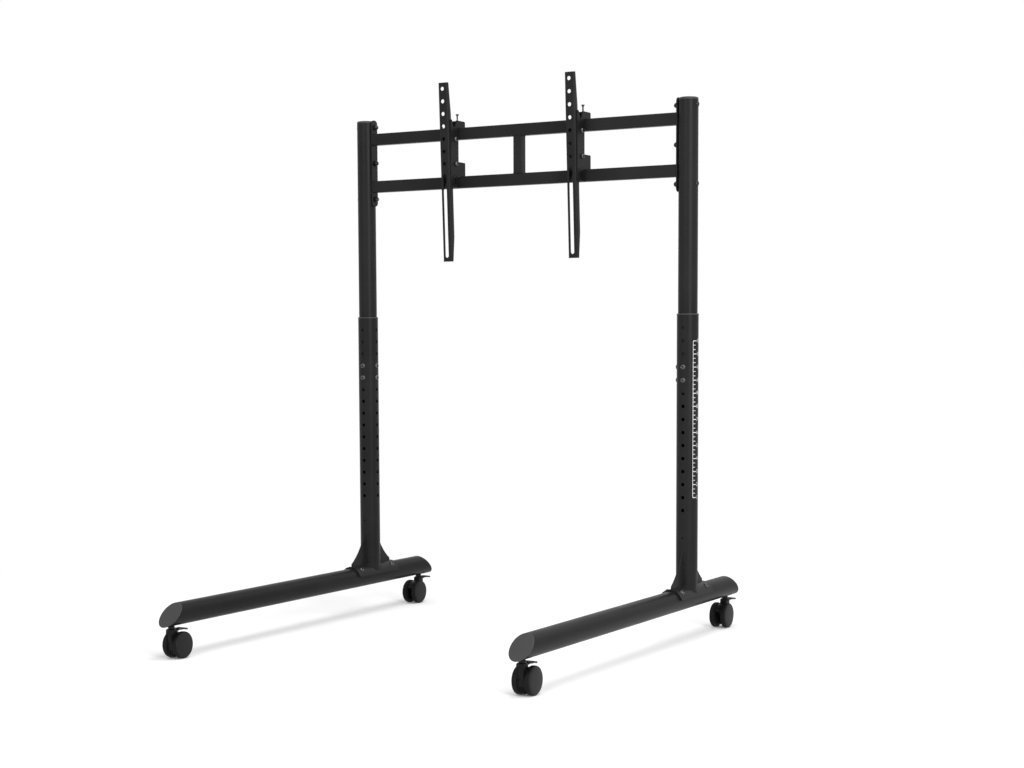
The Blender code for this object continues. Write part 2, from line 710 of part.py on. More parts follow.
def arm_section():
    """Plan section of the channel: face in front, a flange on either side, round bends between."""
    left = -ARM_HOLE_EDGE
    right = left + ARM_WIDTH
    front = -ARM_FACE_TO_PIVOT
    right_back = front + ARM_LUG_DEPTH
    left_back = front + ARM_LEFT_LUG_DEPTH
    inner_bend = ARM_BEND - ARM_WALL
    right_bend = (right - ARM_BEND, front + ARM_BEND)
    left_bend = (left + ARM_BEND, front + ARM_BEND)
    points = arc(right_bend, ARM_BEND, -pi / 2, 0, 4)
    points += [(right, right_back), (right - ARM_WALL, right_back)]
    points += arc(right_bend, inner_bend, 0, -pi / 2, 4)
    points += arc(left_bend, inner_bend, -pi / 2, -pi, 4)
    points += [(left + ARM_WALL, left_back), (left, left_back)]
    points += arc(left_bend, ARM_BEND, -pi, -pi / 2, 4)
    return points


def flange_cut_outlines(flange_depth, lug_depth):
    """What is cut off behind a flange: above and below the lug between the bars."""
    front = -ARM_FACE_TO_PIVOT
    far = front + lug_depth + 0.010
    top = ARM_TOP_ABOVE_PIVOT
    bottom = top - ARM_LENGTH
    depth = front + flange_depth
    tip = front + ARM_FLANGE_TIP
    lug = front + lug_depth
    lug_top = PIVOT_HEAD_RADIUS + 0.008
    lug_bottom = -TILT_BOLT_DROP - PIVOT_HEAD_RADIUS - 0.006
    blend = 0.020
    upper = [(tip, top + 0.005), (tip, top), (depth, top - ARM_TOP_TAPER), (depth, lug_top + blend),
             (lug, lug_top), (far, lug_top), (far, top + 0.005)]
    lower = [(far, lug_bottom), (lug, lug_bottom), (depth, lug_bottom - blend),
             (depth, bottom + ARM_BOTTOM_TAPER), (tip, bottom), (tip, bottom - 0.005), (far, bottom - 0.005)]
    return upper, lower


def screen_arm(side, arm_x):
    """Channel arm with seven holes, a long slot and two tapered flanges; the right one holds the pivot."""
    place = arm_place(arm_x)
    bm = bmesh.new()
    prism(bm, arm_section(), ARM_TOP_ABOVE_PIVOT - ARM_LENGTH, ARM_TOP_ABOVE_PIVOT, "Z")
    arm = add_object("screen_arm_" + side, bm, "powder_black", place)
    left = -ARM_HOLE_EDGE
    right = left + ARM_WIDTH
    trim = bmesh.new()
    for outline in flange_cut_outlines(ARM_FLANGE_DEPTH, ARM_LUG_DEPTH):
        prism(trim, outline, right - 2 * ARM_WALL, right + ARM_WALL, "X")
    for outline in flange_cut_outlines(ARM_LEFT_FLANGE_DEPTH, ARM_LEFT_LUG_DEPTH):
        prism(trim, outline, left - ARM_WALL, left + 2 * ARM_WALL, "X")
    boolean(arm, add_object("arm_trim_" + side, trim, place=place, smooth=False))
    drill = bmesh.new()
    front = -ARM_FACE_TO_PIVOT
    first = ARM_TOP_ABOVE_PIVOT - ARM_FIRST_HOLE
    low, high = front - ARM_WALL, front + 2 * ARM_WALL
    for row in range(ARM_HOLES):
        turn(drill, [(0, low), (ARM_HOLE_RADIUS, low), (ARM_HOLE_RADIUS, high), (0, high)], HOLE_SIDES + 2,
             along((0, 1, 0), (0, 0, first - row * ARM_HOLE_PITCH)))
    slot_top = first - ARM_HOLES * ARM_HOLE_PITCH
    slot_bottom = ARM_TOP_ABOVE_PIVOT - ARM_LENGTH + ARM_SLOT_END + ARM_HOLE_RADIUS
    prism(drill, slot_outline((0, slot_bottom), (0, slot_top), ARM_HOLE_RADIUS), low, high, "Y")
    for drop in (0, TILT_BOLT_DROP):
        turn(drill, [(0, right - 2 * ARM_WALL), (HOLE_RADIUS, right - 2 * ARM_WALL),
                     (HOLE_RADIUS, right + ARM_WALL), (0, right + ARM_WALL)], HOLE_SIDES,
             along((1, 0, 0), (0, 0, -drop)))
    boolean(arm, add_object("arm_drill_" + side, drill, place=place))


def bracket_outline():
    """Side plate in (y, z): spine, prong over the lower bar, hook over the upper bar, notched top edge."""
    front = -BRACKET_FRONT
    wall = BAR_DEPTH / 2 + SLIDE_GAP
    top = UPPER_BAR_TOP + BRACKET_TOP_ABOVE_BAR
    bottom = LOWER_BAR_BOTTOM - BRACKET_BOTTOM_BELOW_BAR
    corner = BRACKET_CORNER
    prong_low = LOWER_BAR_TOP + SEAT_GAP
    prong_high = LOWER_BAR_TOP + PRONG_HEIGHT
    roof = UPPER_BAR_TOP + SEAT_GAP
    lip = UPPER_BAR_TOP - HOOK_DROP
    middle = front + NOTCH_FROM_FRONT
    floor = top - NOTCH_DEPTH
    rim, foot = NOTCH_TOP / 2, NOTCH_BOTTOM / 2
    points = [(front + corner, bottom), (-wall, bottom), (-wall, prong_low), (HOOK_REACH, prong_low)]
    points += arc((HOOK_REACH - corner, prong_high - corner), corner, 0, pi / 2, 2)
    points += [(-BRACKET_WAIST, prong_high), (-BRACKET_WAIST, UPPER_BAR_BOTTOM), (-wall, UPPER_BAR_BOTTOM + corner),
               (-wall, roof), (wall, roof), (wall, lip), (HOOK_REACH - corner, lip), (HOOK_REACH, lip + corner)]
    points += arc((HOOK_REACH - corner, top - corner), corner, 0, pi / 2, 2)
    points += [(middle + rim, top), (middle + foot, floor + foot), (middle + 0.5 * foot, floor),
               (middle - 0.5 * foot, floor), (middle - foot, floor + foot), (middle - rim, top),
               (front, top), (front, bottom + corner)]
    return [(COLUMN_Y + y, BASE_HEIGHT + z) for y, z in points]


def hook_bracket(side, arm_x):
    """Plate that hangs an arm on the bars, with slots for the tilt bolt; at the top a tab for the
    levelling screw is folded over to the left and down again onto the upper bar."""
    face = bracket_face_x(arm_x)
    bar_top = BASE_HEIGHT + UPPER_BAR_TOP
    top = bar_top + BRACKET_TOP_ABOVE_BAR
    bm = bmesh.new()
    prism(bm, bracket_outline(), face - BRACKET_THICKNESS, face, "X")
    bracket = add_object("hook_bracket_" + side, bm, "powder_black", smooth=False)
    bm = bmesh.new()
    inner = face - BRACKET_THICKNESS / 2
    fold = face - BRACKET_THICKNESS - SCREW_TAB_LENGTH
    tab = [(inner, top), (fold + BRACKET_CORNER, top), (fold, top - BRACKET_CORNER), (fold, bar_top + SEAT_GAP),
           (fold + BRACKET_THICKNESS, bar_top + SEAT_GAP), (fold + BRACKET_THICKNESS, top - BRACKET_THICKNESS),
           (inner, top - BRACKET_THICKNESS)]
    prism(bm, tab, COLUMN_Y - SCREW_TAB_FRONT, COLUMN_Y + SCREW_TAB_BACK, "Y")
    boolean(bracket, add_object("screw_tab_" + side, bm, smooth=False), "UNION")
    drill = bmesh.new()
    pivot = (PIVOT_Y, BASE_HEIGHT + PIVOT_HEIGHT)
    low, high = face - 2 * BRACKET_THICKNESS, face + BRACKET_THICKNESS
    turn(drill, [(0, low), (HOLE_RADIUS, low), (HOLE_RADIUS, high), (0, high)], HOLE_SIDES,
         along((1, 0, 0), (0, pivot[0], pivot[1])))
    spread = (TILT_BACK + TILT_FORWARD) / 2
    heading = -pi / 2 + ARM_TILT + (TILT_FORWARD - TILT_BACK) / 2
    prism(drill, curved_slot_outline(pivot, TILT_BOLT_DROP, HOLE_RADIUS, heading, spread), low, high, "X")
    keeper_z = BASE_HEIGHT + (LOWER_BAR_TOP + LOWER_BAR_BOTTOM) / 2 - KEEPER_SLOT_LENGTH / 2
    prism(drill, slot_outline((PIVOT_Y, keeper_z), (PIVOT_Y, keeper_z + KEEPER_SLOT_LENGTH),
                              KEEPER_SLOT_RADIUS, 4), low, high, "X")
    hole = SCREW_RADIUS + PIN_GAP
    depth = 2 * BRACKET_THICKNESS
    turn(drill, [(0, -depth), (hole, -depth), (hole, depth), (0, depth)], HOLE_SIDES,
         Matrix.Translation((face - SCREW_FROM_PLATE, COLUMN_Y, top)))
    boolean(bracket, add_object("bracket_drill_" + side, drill))


def pivot_bolt(side, arm_x):
    """Bolt on the tilt axis, held in the bracket, with its nut behind the arm's flange."""
    face = bracket_face_x(arm_x)
    bm = bmesh.new()
    seat = (face + SEAT_GAP, PIVOT_Y, BASE_HEIGHT + PIVOT_HEIGHT)
    shank = BRACKET_THICKNESS + SLIDE_GAP + ARM_WALL + 3 * SEAT_GAP + NUT_FLANGE
    button_bolt(bm, seat, (1, 0, 0), shank, PIVOT_HEAD_RADIUS)
    flange_back = face - BRACKET_THICKNESS - SLIDE_GAP - ARM_WALL - SEAT_GAP
    place = along((-1, 0, 0), (flange_back, PIVOT_Y, BASE_HEIGHT + PIVOT_HEIGHT))
    nut = bmesh.new()
    turn(nut, [(0, 0), (PIVOT_HEAD_RADIUS, 0), (PIVOT_HEAD_RADIUS, NUT_FLANGE), (0, NUT_FLANGE)], 6, place)
    bolt = add_object("pivot_bolt_" + side, bm, "zinc_black")
    boolean(bolt, add_object("pivot_nut_" + side, nut), "UNION")


def tilt_bolt(side, arm_x):
    """Clamping bolt that rides in the bracket's curved slot, fixed to the arm."""
    place = arm_place(arm_x)
    face = bracket_face_x(arm_x) - arm_x
    bm = bmesh.new()
    shank = BRACKET_THICKNESS + SLIDE_GAP + ARM_WALL + 3 * SEAT_GAP + NUT_FLANGE
    button_bolt(bm, (face + SEAT_GAP, 0, -TILT_BOLT_DROP), (1, 0, 0), shank, PIVOT_HEAD_RADIUS)
    flange_back = face - BRACKET_THICKNESS - SLIDE_GAP - ARM_WALL - SEAT_GAP
    nut = bmesh.new()
    turn(nut, [(0, 0), (PIVOT_HEAD_RADIUS, 0), (PIVOT_HEAD_RADIUS, NUT_FLANGE), (0, NUT_FLANGE)], 6,
         along((-1, 0, 0), (flange_back, 0, -TILT_BOLT_DROP)))
    bolt = add_object("tilt_bolt_" + side, bm, "zinc_black", place)
    boolean(bolt, add_object("tilt_nut_" + side, nut, place=place), "UNION")


def level_screw(side, arm_x):
    """Levelling screw: flared head above the hook, tip on the upper bar."""
    bm = bmesh.new()
    tip = UPPER_BAR_TOP + SEAT_GAP
    head_top = UPPER_BAR_TOP + BRACKET_TOP_ABOVE_BAR + SCREW_HEAD_ABOVE_BRACKET + SCREW_HEAD_HEIGHT
    rim = 0.0012
    profile = [(0, tip), (SCREW_RADIUS, tip), (SCREW_RADIUS, head_top - SCREW_HEAD_HEIGHT),
               (SCREW_HEAD_RADIUS, head_top - rim), (SCREW_HEAD_RADIUS, head_top), (0, head_top)]
    x = bracket_face_x(arm_x) - SCREW_FROM_PLATE
    turn(bm, profile, BOLT_SIDES, Matrix.Translation((x, COLUMN_Y, BASE_HEIGHT)))
    add_object("level_screw_" + side, bm, "zinc_black")


def caster_stem(name, x, y):
    """Flanged stem with its threaded end in the leg tube's underside."""
    bm = bmesh.new()
    low = CASTER_HEIGHT - SEAT_GAP - STEM_FLANGE_HEIGHT
    profile = [(0, low - STEM_IN_NECK), (STEM_RADIUS, low - STEM_IN_NECK), (STEM_RADIUS, low),
               (STEM_FLANGE_RADIUS, low), (STEM_FLANGE_RADIUS, CASTER_HEIGHT - SEAT_GAP),
               (STEM_RADIUS, CASTER_HEIGHT - SEAT_GAP), (STEM_RADIUS, CASTER_HEIGHT + STEM_ABOVE_TUBE_WALL),
               (0, CASTER_HEIGHT + STEM_ABOVE_TUBE_WALL)]
    turn(bm, profile, HOLE_SIDES, Matrix.Translation((x, y, 0)))
    add_object("caster_stem_" + name, bm, "zinc_black")


def fork_outline(trail):
    """Side outline of the part between the wheels, in (y, z) from the swivel axis."""
    center = (CASTER_TRAIL, AXLE_HEIGHT)
    neck_top = CASTER_HEIGHT - SEAT_GAP - STEM_FLANGE_HEIGHT - SLIDE_GAP - 0.001
    points = arc(center, FORK_RADIUS, radians(25), radians(90), 5)
    points += [(NECK_RADIUS - 0.001, AXLE_HEIGHT + FORK_RADIUS + 0.001), (NECK_RADIUS - 0.002, neck_top),
               (-NECK_RADIUS + 0.002, neck_top), (-NECK_RADIUS + 0.001, AXLE_HEIGHT + 0.018)]
    points += arc((0.5 * CASTER_TRAIL, AXLE_HEIGHT), 0.5 * CASTER_TRAIL - 0.001 + NECK_RADIUS - 0.012 + 0.0085,
                  radians(165), radians(205), 3)
    points += arc(center, HUB_RADIUS, radians(235), radians(345), 4)
    return [(trail * y, z) for y, z in points]


def caster_fork(name, x, y, trail):
    """Swivelling body: hood between the wheels, round neck with the stem socket, pedal lug."""
    bm = bmesh.new()
    outline = [(y + a, z) for a, z in fork_outline(trail)]
    prism(bm, outline, x - FORK_WIDTH / 2, x + FORK_WIDTH / 2, "X")
    fork = add_object("caster_fork_" + name, bm, "plastic_black")
    neck_top = CASTER_HEIGHT - SEAT_GAP - STEM_FLANGE_HEIGHT - SLIDE_GAP
    neck_low = neck_top - NECK_HEIGHT
    neck = bmesh.new()
    turn(neck, [(0, neck_low), (0.75 * NECK_RADIUS, neck_low), (NECK_RADIUS, neck_low + 0.002),
                (NECK_RADIUS, neck_top), (0, neck_top)], NECK_SIDES,
         Matrix.Translation((x, y, 0)))
    boolean(fork, add_object("caster_neck_" + name, neck), "UNION")
    pivot_z = neck_top - PEDAL_PIVOT_BELOW_NECK
    lug = bmesh.new()
    lug_outline = [(y + 0.004, pivot_z - 0.6 * PEDAL_LUG_RADIUS)]
    lug_outline += arc((y + PEDAL_PIVOT_OFFSET, pivot_z), PEDAL_LUG_RADIUS, -pi / 2, pi / 2, 5)
    lug_outline.append((y + 0.004, pivot_z + 0.6 * PEDAL_LUG_RADIUS))
    prism(lug, lug_outline, x - PEDAL_LUG_WIDTH / 2, x + PEDAL_LUG_WIDTH / 2, "X")
    boolean(fork, add_object("caster_lug_" + name, lug), "UNION")
    drill = bmesh.new()
    socket = (STEM_RADIUS + PIN_GAP) / cos(pi / HOLE_SIDES)
    floor = neck_top + SLIDE_GAP - STEM_IN_NECK - SLIDE_GAP
    turn(drill, [(0, floor), (socket, floor), (socket, neck_top + 0.002),
                 (0, neck_top + 0.002)], HOLE_SIDES, Matrix.Translation((x, y, 0)))
    boolean(fork, add_object("caster_socket_" + name, drill))
    cross = bmesh.new()
    bore = AXLE_RADIUS + PIN_GAP
    half = FORK_WIDTH
    turn(cross, [(0, -half), (bore, -half), (bore, half), (0, half)], HOLE_SIDES,
         along((1, 0, 0), (x, y + trail * CASTER_TRAIL, AXLE_HEIGHT)))
    bore = PEDAL_PIN_RADIUS + PIN_GAP
    turn(cross, [(0, -half), (bore, -half), (bore, half), (0, half)], 8,
         along((1, 0, 0), (x, y + PEDAL_PIVOT_OFFSET, pivot_z)))
    boolean(fork, add_object("caster_cross_" + name, cross))


def caster_axle(name, x, y, trail):
    """Steel axle through the fork into both wheels."""
    bm = bmesh.new()
    half = WHEEL_INNER_X + 0.6 * WHEEL_WIDTH
    turn(bm, [(0, -half), (AXLE_RADIUS, -half), (AXLE_RADIUS, half), (0, half)], HOLE_SIDES,
         along((1, 0, 0), (x, y + trail * CASTER_TRAIL, AXLE_HEIGHT)))
    add_object("caster_axle_" + name, bm, "zinc_black")


def caster_wheel(name, x, y, trail, side):
    """Moulded wheel: rounded tread, dished outer face with a hub button, blind bore for the axle."""
    bm = bmesh.new()
    low, high = WHEEL_INNER_X, WHEEL_OUTER_X
    crown = WHEEL_CROWN
    tread = WHEEL_RADIUS
    bore = AXLE_RADIUS + PIN_GAP
    deep = WHEEL_INNER_X + 0.6 * WHEEL_WIDTH + PIN_GAP
    profile = [
        (bore, low), (tread - 0.5 * crown, low), (tread, low + 0.6 * crown), (tread, high - 1.4 * crown),
        (tread - 1.4 * crown, high), (0.32 * tread, high - 0.0018), (0.26 * tread, high - 0.0003), (0, high),
    ]
    place = along((1, 0, 0) if side == "right" else (-1, 0, 0), (x, y + trail * CASTER_TRAIL, AXLE_HEIGHT))
    turn(bm, [(0, deep), (bore, deep)] + profile, WHEEL_SIDES, place)
    add_object("caster_wheel_" + name + "_" + side, bm, "wheel_black")


def brake_pedal(name, x, y):
    """Pressed brake pedal that forks round the lug, with its pin and a turned-down tip."""
    neck_top = CASTER_HEIGHT - SEAT_GAP - STEM_FLANGE_HEIGHT - SLIDE_GAP
    pivot_z = neck_top - PEDAL_PIVOT_BELOW_NECK
    start = PEDAL_PIVOT_OFFSET + PEDAL_LUG_RADIUS + PIN_GAP
    half = PEDAL_THICKNESS / 2
    end = PEDAL_PIVOT_OFFSET + PEDAL_LENGTH
    plate = bmesh.new()
    outline = [(start, -half), (end - 0.006, -half), (end, -half - 0.003), (end, half - 0.002),
               (end - 0.005, half), (start, half)]
    place = Matrix.Translation((x, y + PEDAL_PIVOT_OFFSET, pivot_z))
    local = [(a - PEDAL_PIVOT_OFFSET, b) for a, b in outline]
    prism(plate, local, -PEDAL_WIDTH / 2, PEDAL_WIDTH / 2, "X")
    pedal = add_object("brake_pedal_" + name, plate, "satin_black", place, smooth=False)
    cheek = 0.0022
    inside = PEDAL_LUG_WIDTH / 2 + PIN_GAP
    cheeks = bmesh.new()
    for sign in (-1, 1):
        ear = [(start - PEDAL_PIVOT_OFFSET + 0.003, -half), (start - PEDAL_PIVOT_OFFSET + 0.003, half)]
        ear += arc((0, 0), 0.0028, pi / 2, 3 * pi / 2, 4)
        low, high = sorted((sign * inside, sign * (inside + cheek)))
        prism(cheeks, ear, low, high, "X")
    boolean(pedal, add_object("pedal_cheeks_" + name, cheeks, place=place, smooth=False), "UNION")
    pin = bmesh.new()
    reach = inside + 0.5 * cheek
    turn(pin, [(0, -reach), (PEDAL_PIN_RADIUS, -reach), (PEDAL_PIN_RADIUS, reach), (0, reach)], 6,
         along((1, 0, 0)))
    boolean(pedal, add_object("pedal_pin_" + name, pin, place=place), "UNION")


def build():
    clear_scene()
    half = COLUMN_SPACING / 2
    for side, x in (("left", -half), ("right", half)):
        base_tube(side, x)
        end_cap("front_cap_" + side, x, True)
        end_cap("back_cap_" + side, x, False)
        lower_column(side, x)
        collar(side, x)
        upper_tube(side, x)
        top_cap(side, x)
        end_plate(side, x)
        plate_bolts(side, x)
    crossbar("upper_crossbar", UPPER_BAR_BOTTOM)
    crossbar("lower_crossbar", LOWER_BAR_BOTTOM)
    center_post()
    for side, arm_x in (("left", LEFT_ARM_X), ("right", RIGHT_ARM_X)):
        screen_arm(side, arm_x)
        hook_bracket(side, arm_x)
        pivot_bolt(side, arm_x)
        tilt_bolt(side, arm_x)
        level_screw(side, arm_x)
    for name, x, y, trail in caster_places():
        caster_stem(name, x, y)
        caster_fork(name, x, y, trail)
        caster_axle(name, x, y, trail)
        caster_wheel(name, x, y, trail, "left")
        caster_wheel(name, x, y, trail, "right")
        brake_pedal(name, x, y)


build()
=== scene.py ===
from math import atan2, cos, pi, radians, sin, sqrt

import bmesh
import bpy
from mathutils import Matrix, Vector


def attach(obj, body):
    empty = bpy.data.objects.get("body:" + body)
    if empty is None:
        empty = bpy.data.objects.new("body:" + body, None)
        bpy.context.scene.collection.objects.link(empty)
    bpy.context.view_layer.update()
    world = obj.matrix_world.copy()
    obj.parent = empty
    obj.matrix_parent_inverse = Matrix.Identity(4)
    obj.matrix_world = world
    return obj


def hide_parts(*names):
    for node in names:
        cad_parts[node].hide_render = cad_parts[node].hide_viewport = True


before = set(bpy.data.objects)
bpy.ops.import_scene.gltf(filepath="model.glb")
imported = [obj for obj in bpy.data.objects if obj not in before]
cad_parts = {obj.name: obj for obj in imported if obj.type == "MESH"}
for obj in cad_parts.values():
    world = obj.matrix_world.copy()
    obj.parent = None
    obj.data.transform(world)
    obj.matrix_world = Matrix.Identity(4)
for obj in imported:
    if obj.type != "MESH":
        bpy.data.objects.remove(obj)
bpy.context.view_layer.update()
print("frame loaded")

# places that many pieces share, in metres; heights of holes and bars count from the leg's axis
stand = {"columnX": 0.4425, "columnY": 0.269, "axisZ": 0.0985, "tubeRadius": 0.025, "seatGap": 0.0003,
         "boltHole": 0.0043, "lowestHole": 0.205, "holePitch": 0.03,
         "upperBarLow": 1.0857, "upperBarTop": 1.1142, "lowerBarLow": 0.9687, "lowerBarTop": 0.9972}
columnX, columnY, axisZ = stand["columnX"], stand["columnY"], stand["axisZ"]
seatGap, boltHole = stand["seatGap"], stand["boltHole"]


def deselectAll():
    if bpy.context.object and bpy.context.object.mode == "EDIT":
        bpy.ops.object.mode_set(mode="OBJECT")
    bpy.ops.object.select_all(action="DESELECT")


def pickOnly(piece):
    deselectAll()
    piece.select_set(True)
    bpy.context.view_layer.objects.active = piece


def openMesh(piece):
    pickOnly(piece)
    bpy.ops.object.mode_set(mode="EDIT")


def pickAll():
    bpy.ops.mesh.select_all(action="SELECT")


def closeMesh():
    pickAll()
    bpy.ops.mesh.normals_make_consistent(inside=False)
    bpy.ops.object.mode_set(mode="OBJECT")


def pickEdges(piece, test):
    bpy.ops.mesh.select_mode(type="EDGE")
    bpy.ops.mesh.select_all(action="DESELECT")
    shape = bmesh.from_edit_mesh(piece.data)
    for edge in shape.edges:
        if test(edge):
            edge.select_set(True)
    bmesh.update_edit_mesh(piece.data)


def pickOpenEdges():
    bpy.ops.mesh.select_mode(type="EDGE")
    bpy.ops.mesh.select_all(action="DESELECT")
    bpy.ops.mesh.select_non_manifold(extend=False, use_wire=False, use_boundary=True,
                                     use_multi_face=False, use_non_contiguous=False, use_verts=False)


def applyAll(piece):
    pickOnly(piece)
    for modifier in list(piece.modifiers):
        bpy.ops.object.modifier_apply(modifier=modifier.name)


def settle(piece, place=None):
    # puts the place into the mesh, so the object itself sits at the origin
    if place is not None:
        piece.matrix_world = place @ piece.matrix_world
    pickOnly(piece)
    bpy.ops.object.transform_apply(location=True, rotation=True, scale=True)
    return piece


def soften(piece, width, steps=2, angle=40):
    bevel = piece.modifiers.new("soften", "BEVEL")
    bevel.width = width
    bevel.segments = steps
    bevel.limit_method = "ANGLE"
    bevel.angle_limit = radians(angle)
    applyAll(piece)
    return piece


def thicken(piece, wall, side=-1):
    shell = piece.modifiers.new("wall", "SOLIDIFY")
    shell.thickness = wall
    shell.offset = side
    applyAll(piece)
    return piece


def smooth(piece, angle=35):
    pickOnly(piece)
    bpy.ops.object.shade_smooth_by_angle(angle=radians(angle))
    return piece


def cut(piece, tool, how="DIFFERENCE"):
    saw = piece.modifiers.new("cut", "BOOLEAN")
    saw.operation = how
    saw.solver = "EXACT"
    saw.object = tool
    applyAll(piece)
    discard(tool)
    return piece


def discard(*pieces):
    for piece in pieces:
        bpy.data.objects.remove(piece, do_unlink=True)


def joined(pieces):
    deselectAll()
    for piece in pieces:
        piece.select_set(True)
    bpy.context.view_layer.objects.active = pieces[0]
    bpy.ops.object.join()
    return pieces[0]


def copyTo(piece, move):
    twin = piece.copy()
    twin.data = piece.data.copy()
    bpy.context.scene.collection.objects.link(twin)
    twin.data.transform(move)
    if move.determinant() < 0:
        twin.data.flip_normals()
    return twin


def repeated(piece, places):
    # copies of a piece made at the origin, one at each place, as one piece
    twins = [copyTo(piece, place) for place in places]
    discard(piece)
    return joined(twins)


def shift(x=0, y=0, z=0):
    return Matrix.Translation((x, y, z))


def facing(direction, point=(0, 0, 0)):
    turned = Vector((0, 0, 1)).rotation_difference(Vector(direction)).to_matrix().to_4x4()
    return Matrix.Translation(Vector(point)) @ turned


mirrorX = Matrix.Scale(-1, 4, (1, 0, 0))
mirrorY = Matrix.Scale(-1, 4, (0, 1, 0))
columnPlace = shift(columnX, columnY, axisZ)


def turnedPiece(stations, sides=48, place=None, hollow=False):
    # a ring is drawn at the first station, then extruded and scaled to each next one
    stations = list(stations)
    startPole = stations.pop(0)[1] if stations[0][0] == 0 else None
    radius, height = stations[0]
    bpy.ops.mesh.primitive_circle_add(vertices=sides, radius=radius, fill_type="NOTHING")
    piece = bpy.context.object
    openMesh(piece)
    bpy.ops.mesh.select_mode(type="EDGE")
    pickAll()
    bpy.ops.transform.translate(value=(0, 0, height))
    for nextRadius, nextHeight in stations[1:]:
        if nextRadius == 0:
            closeRing(nextHeight, height)
            break
        bpy.ops.mesh.extrude_region_move()
        ratio = nextRadius / radius
        bpy.ops.transform.resize(value=(ratio, ratio, 1), center_override=(0, 0, height))
        bpy.ops.transform.translate(value=(0, 0, nextHeight - height))
        radius, height = nextRadius, nextHeight
    if hollow:
        pickOpenEdges()
        bpy.ops.mesh.bridge_edge_loops()
    elif startPole is not None:
        pickOpenEdges()
        closeRing(startPole, stations[0][1])
    closeMesh()
    return settle(piece, place)


def closeRing(poleHeight, ringHeight):
    if abs(poleHeight - ringHeight) < 1e-6:
        bpy.ops.mesh.edge_face_add()
        return
    bpy.ops.mesh.extrude_region_move()
    bpy.ops.mesh.merge(type="CENTER")
    bpy.ops.transform.translate(value=(0, 0, poleHeight - ringHeight))


def plateFrom(outline, low, high, axis="X"):
    # a filled ring takes the outline's corners, then is extruded to the plate's thickness
    bpy.ops.mesh.primitive_circle_add(vertices=len(outline), radius=0.01, fill_type="NGON")
    piece = bpy.context.object
    openMesh(piece)
    shape = bmesh.from_edit_mesh(piece.data)
    shape.verts.ensure_lookup_table()
    for corner, (first, second) in zip(shape.verts, outline):
        corner.co = {"X": (low, first, second), "Y": (first, low, second), "Z": (first, second, low)}[axis]
    bmesh.update_edit_mesh(piece.data)
    depth = {"X": (high - low, 0, 0), "Y": (0, high - low, 0), "Z": (0, 0, high - low)}[axis]
    bpy.ops.mesh.select_mode(type="FACE")
    pickAll()
    bpy.ops.mesh.extrude_region_move(TRANSFORM_OT_translate={"value": depth})
    closeMesh()
    return settle(piece)


def blockBetween(low, high):
    low, high = Vector(low), Vector(high)
    bpy.ops.mesh.primitive_cube_add(size=1, location=(low + high) / 2, scale=high - low)
    return settle(bpy.context.object)


def pipe(radius, wall, low, high, place):
    # open cylinder given its wall thickness
    bpy.ops.mesh.primitive_cylinder_add(vertices=96, radius=radius, depth=high - low,
                                        end_fill_type="NOTHING", location=(0, 0, (low + high) / 2))
    piece = settle(bpy.context.object)
    openMesh(piece)
    closeMesh()
    return settle(thicken(piece, wall), place)


def rod(radius, low, high, sides=32, place=None):
    bpy.ops.mesh.primitive_cylinder_add(vertices=sides, radius=radius, depth=high - low,
                                        location=(0, 0, (low + high) / 2))
    return settle(bpy.context.object, place)


def arcPoints(center, radius, start, end, steps):
    points = []
    for step in range(steps + 1):
        angle = start + (end - start) * step / steps
        points.append((center[0] + radius * cos(angle), center[1] + radius * sin(angle)))
    return points


def roundedBox(width, height, radius, steps, center):
    points = []
    for quarter, (signA, signB) in enumerate(((1, 1), (-1, 1), (-1, -1), (1, -1))):
        middle = (center[0] + signA * (width / 2 - radius), center[1] + signB * (height / 2 - radius))
        points += arcPoints(middle, radius, quarter * pi / 2, (quarter + 1) * pi / 2, steps)
    return points


def lifted(profile, height):
    # the stations of a turned piece, counted from a height
    return [(radius, height + z) for radius, z in profile]


def slotPoints(first, second, radius, steps):
    heading = atan2(second[1] - first[1], second[0] - first[0])
    points = arcPoints(second, radius, heading - pi / 2, heading + pi / 2, steps)
    return points + arcPoints(first, radius, heading + pi / 2, heading + 3 * pi / 2, steps)


def weldLine(start, end, radius):
    # a run of small ripples, as a weld bead has
    start, end, ripple = Vector(start), Vector(end), 0.0024
    length = (end - start).length
    count = max(3, int(length / ripple))
    stations = [(0, -0.4 * radius)]
    for step in range(count):
        low = length * step / count
        stations += [(0.86 * radius, low), (radius, low + 0.45 * length / count)]
    stations += [(0.8 * radius, length), (0, length + 0.4 * radius)]
    return turnedPiece(stations, 10, facing(end - start, start))


def addNode(tree, kind, inputs, **settings):
    # each input takes a value, or a link when it is given another node's output
    node = tree.nodes.new(kind)
    for name, value in settings.items():
        setattr(node, name, value)
    for label, value in inputs.items():
        if isinstance(value, bpy.types.NodeSocket):
            tree.links.new(value, node.inputs[label])
        else:
            node.inputs[label].default_value = value
    return node


def mathNode(tree, operation, first, second, clamp=False):
    node = addNode(tree, "ShaderNodeMath", {0: first, 1: second}, operation=operation, use_clamp=clamp)
    return node.outputs[0]


def rangeNode(tree, value, low, high, toLow=0.0, toHigh=1.0):
    inputs = {"Value": value, "From Min": low, "From Max": high, "To Min": toLow, "To Max": toHigh}
    return addNode(tree, "ShaderNodeMapRange", inputs).outputs["Result"]


def noiseNode(tree, vector, scale, detail, roughness=0.5):
    inputs = {"Vector": vector, "Scale": scale, "Detail": detail, "Roughness": roughness}
    return addNode(tree, "ShaderNodeTexNoise", inputs).outputs["Fac"]


